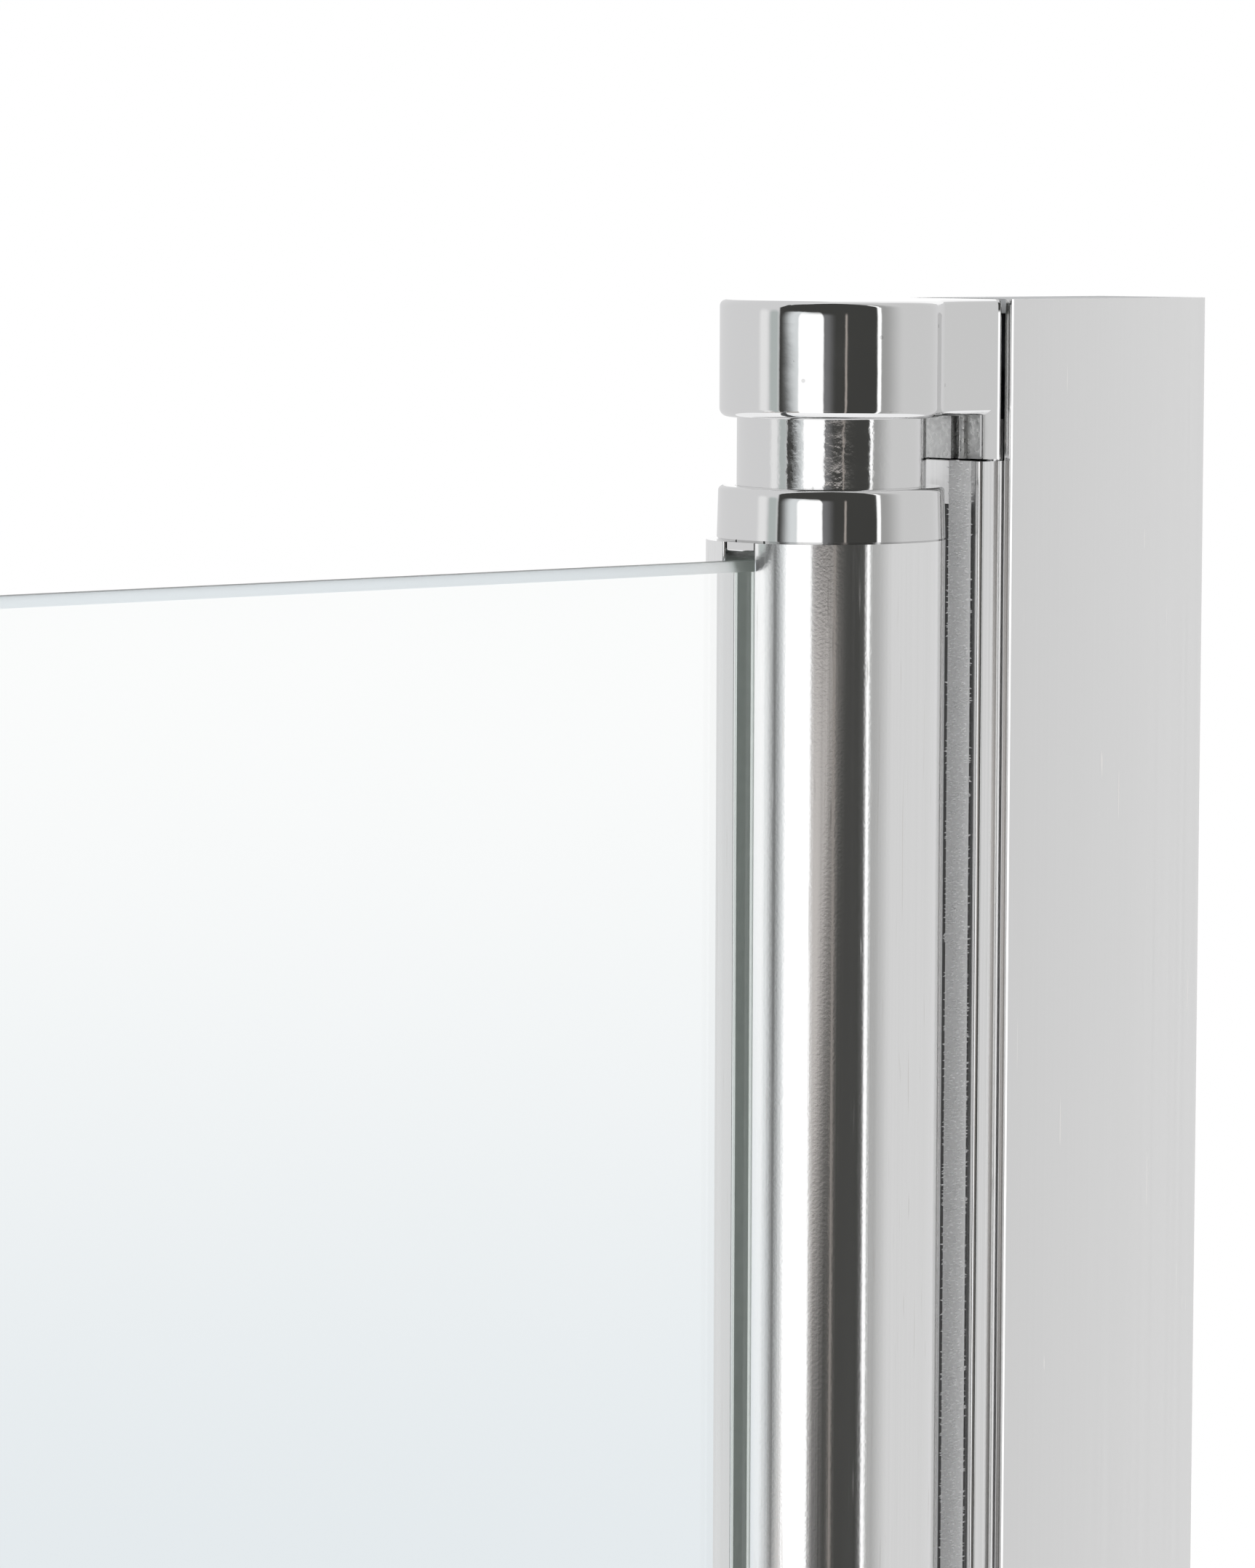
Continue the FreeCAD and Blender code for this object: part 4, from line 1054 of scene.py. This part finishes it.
def screw_tree():
    tree, given, result = geometry_tree("screw", "Shank Radius", "Length", "Head Low Radius",
                                        "Head Top Radius", "Head Height", "Pitch", "Ridge",
                                        Finish="Material")

    def moved(mesh, z, turn=0.0):
        place = step(tree, "ShaderNodeCombineXYZ", X=0.0, Y=0.0, Z=z)
        spun = step(tree, "FunctionNodeEulerToRotation", Euler=(0.0, 0.0, turn))
        return step(tree, "GeometryNodeTransform", Geometry=mesh, Translation=place, Rotation=spun)

    core = minus(tree, given["Shank Radius"], given["Ridge"])
    below = minus(tree, given["Length"], given["Head Height"])
    head = step(tree, "GeometryNodeMeshCone", Vertices=28, Radius_Top=given["Head Top Radius"],
                Radius_Bottom=given["Head Low Radius"], Depth=given["Head Height"])
    head = moved(head, product(tree, given["Head Height"], -1.0))
    cut_size = step(tree, "ShaderNodeCombineXYZ", X=product(tree, given["Head Top Radius"], RECESS_LENGTH),
                    Y=product(tree, given["Head Top Radius"], RECESS_WIDTH),
                    Z=product(tree, given["Head Height"], 2 * RECESS_DEPTH))
    wing = step(tree, "GeometryNodeMeshCube", Size=cut_size)
    cut = tree.nodes.new("GeometryNodeMeshBoolean")
    cut.operation = "DIFFERENCE"
    tree.links.new(head, cut.inputs["Mesh 1"])
    tree.links.new(wing, cut.inputs["Mesh 2"])
    tree.links.new(moved(wing, 0.0, math.pi / 2), cut.inputs["Mesh 2"])
    shank = step(tree, "GeometryNodeMeshCylinder", Vertices=18, Radius=core, Depth=below)
    middle_z = product(tree, maths(tree, "ADD", given["Length"], given["Head Height"]), -0.5)
    wound = maths(tree, "MULTIPLY_ADD", given["Ridge"], -4.0, below)
    spiral = step(tree, "GeometryNodeCurveSpiral", Resolution=16, Start_Radius=core, End_Radius=core,
                  Rotations=maths(tree, "DIVIDE", wound, given["Pitch"]), Height=wound)
    profile = step(tree, "GeometryNodeCurvePrimitiveCircle", Resolution=3, Radius=given["Ridge"])
    thread = step(tree, "GeometryNodeCurveToMesh", Curve=spiral, Profile_Curve=profile, Fill_Caps=True)
    foot = product(tree, given["Length"], -1.0)
    thread = moved(thread, maths(tree, "MULTIPLY_ADD", given["Ridge"], 2.0, foot))
    whole = join(tree, cut.outputs["Mesh"], moved(shank, middle_z), thread)
    facing = step(tree, "GeometryNodeInputNamedAttribute", {"data_type": "FLOAT_VECTOR"}, Name="facing")
    turned = step(tree, "FunctionNodeAlignRotationToVector", {"axis": "Z"}, Vector=facing)
    screws = step(tree, "GeometryNodeInstanceOnPoints", Points=given["Mesh"], Instance=whole,
                  Rotation=turned)
    feed(tree, result["Mesh"], plain_result(tree, screws, given["Finish"]))
    return tree


def head_places(name, to_rear):
    """The middle of each packed screw's head, and the way that the head faces."""
    groups = {}
    for vertex in nodes[name].data.vertices:
        co = vertex.co
        key = round(co.z / LOCK_SPACING) if to_rear else (co.z > middle.z, co.y > 0)
        groups.setdefault(key, []).append(co)
    places = []
    for points in groups.values():
        low, high = Vector(map(min, zip(*points))), Vector(map(max, zip(*points)))
        centre = (low + high) / 2
        if to_rear:
            places.append((Vector((centre.x, high.y, centre.z)), Vector((0, 1, 0))))
        elif centre.z > middle.z:
            places.append((Vector((centre.x, centre.y, high.z)), Vector((0, 0, 1))))
        else:
            places.append((Vector((centre.x, centre.y, low.z)), Vector((0, 0, -1))))
    return places


screws_tree = screw_tree()
for name, node, body, to_rear, sizes in SCREW_SETS:
    places = head_places(node, to_rear)
    start = new_object(name, bpy.data.meshes.new(name))
    start.data.from_pydata([place for place, facing in places], [], [])
    facings = start.data.attributes.new("facing", "FLOAT_VECTOR", "POINT")
    for entry, (place, facing) in zip(facings.data, places):
        entry.vector = facing
    grown(start, screws_tree, Pitch=THREAD_PITCH, Ridge=THREAD_RIDGE, Finish=screw_steel,
          **{label: size * MM for label, size in zip(SCREW_SIZES, sizes)})
    stand_in(start, node, body)
    print(name, "has", len(places), "screws and", len(start.data.polygons), "faces")

# %% [markdown]
# ## Giving each piece its finish
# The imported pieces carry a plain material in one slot. Swapping the material in the slot leaves the
# mesh alone, which keeps the piece exactly where the construction put it.

# %% Assign the finishes
FINISHES = {
    satin_aluminium: ["wall_profile"],
    bright_aluminium: ["adjusting_profile"],
    top_cap_chrome: ["top_cap"],
    low_cap_chrome: ["bottom_cap"],
    neck_chrome: ["top_neck", "bottom_neck"],
    spindle_steel: ["top_spindle", "bottom_spindle"],
    acetal: ["top_bush", "bottom_bush", "lift_cam_fixed", "lift_cam_moving"],
    grey_plastic: ["top_end_plug", "bottom_end_plug"],
    cover_plastic: ["lock_screw_covers"],
    clear_glass: ["glass_panel"],
    gasket_rubber: ["front_gasket", "rear_gasket"],
    setting_rubber: ["setting_block"],
    clear_seal: ["bottom_seal"],
}
for finish, names in FINISHES.items():
    for name in names:
        for slot in nodes[name].material_slots:
            slot.material = finish
print("finished", sum(len(names) for names in FINISHES.values()), "packed pieces of", len(nodes))

# %% [markdown]
# ## The size
# The dressed screen has to stay the size of the construction.

# %% Finish
import json
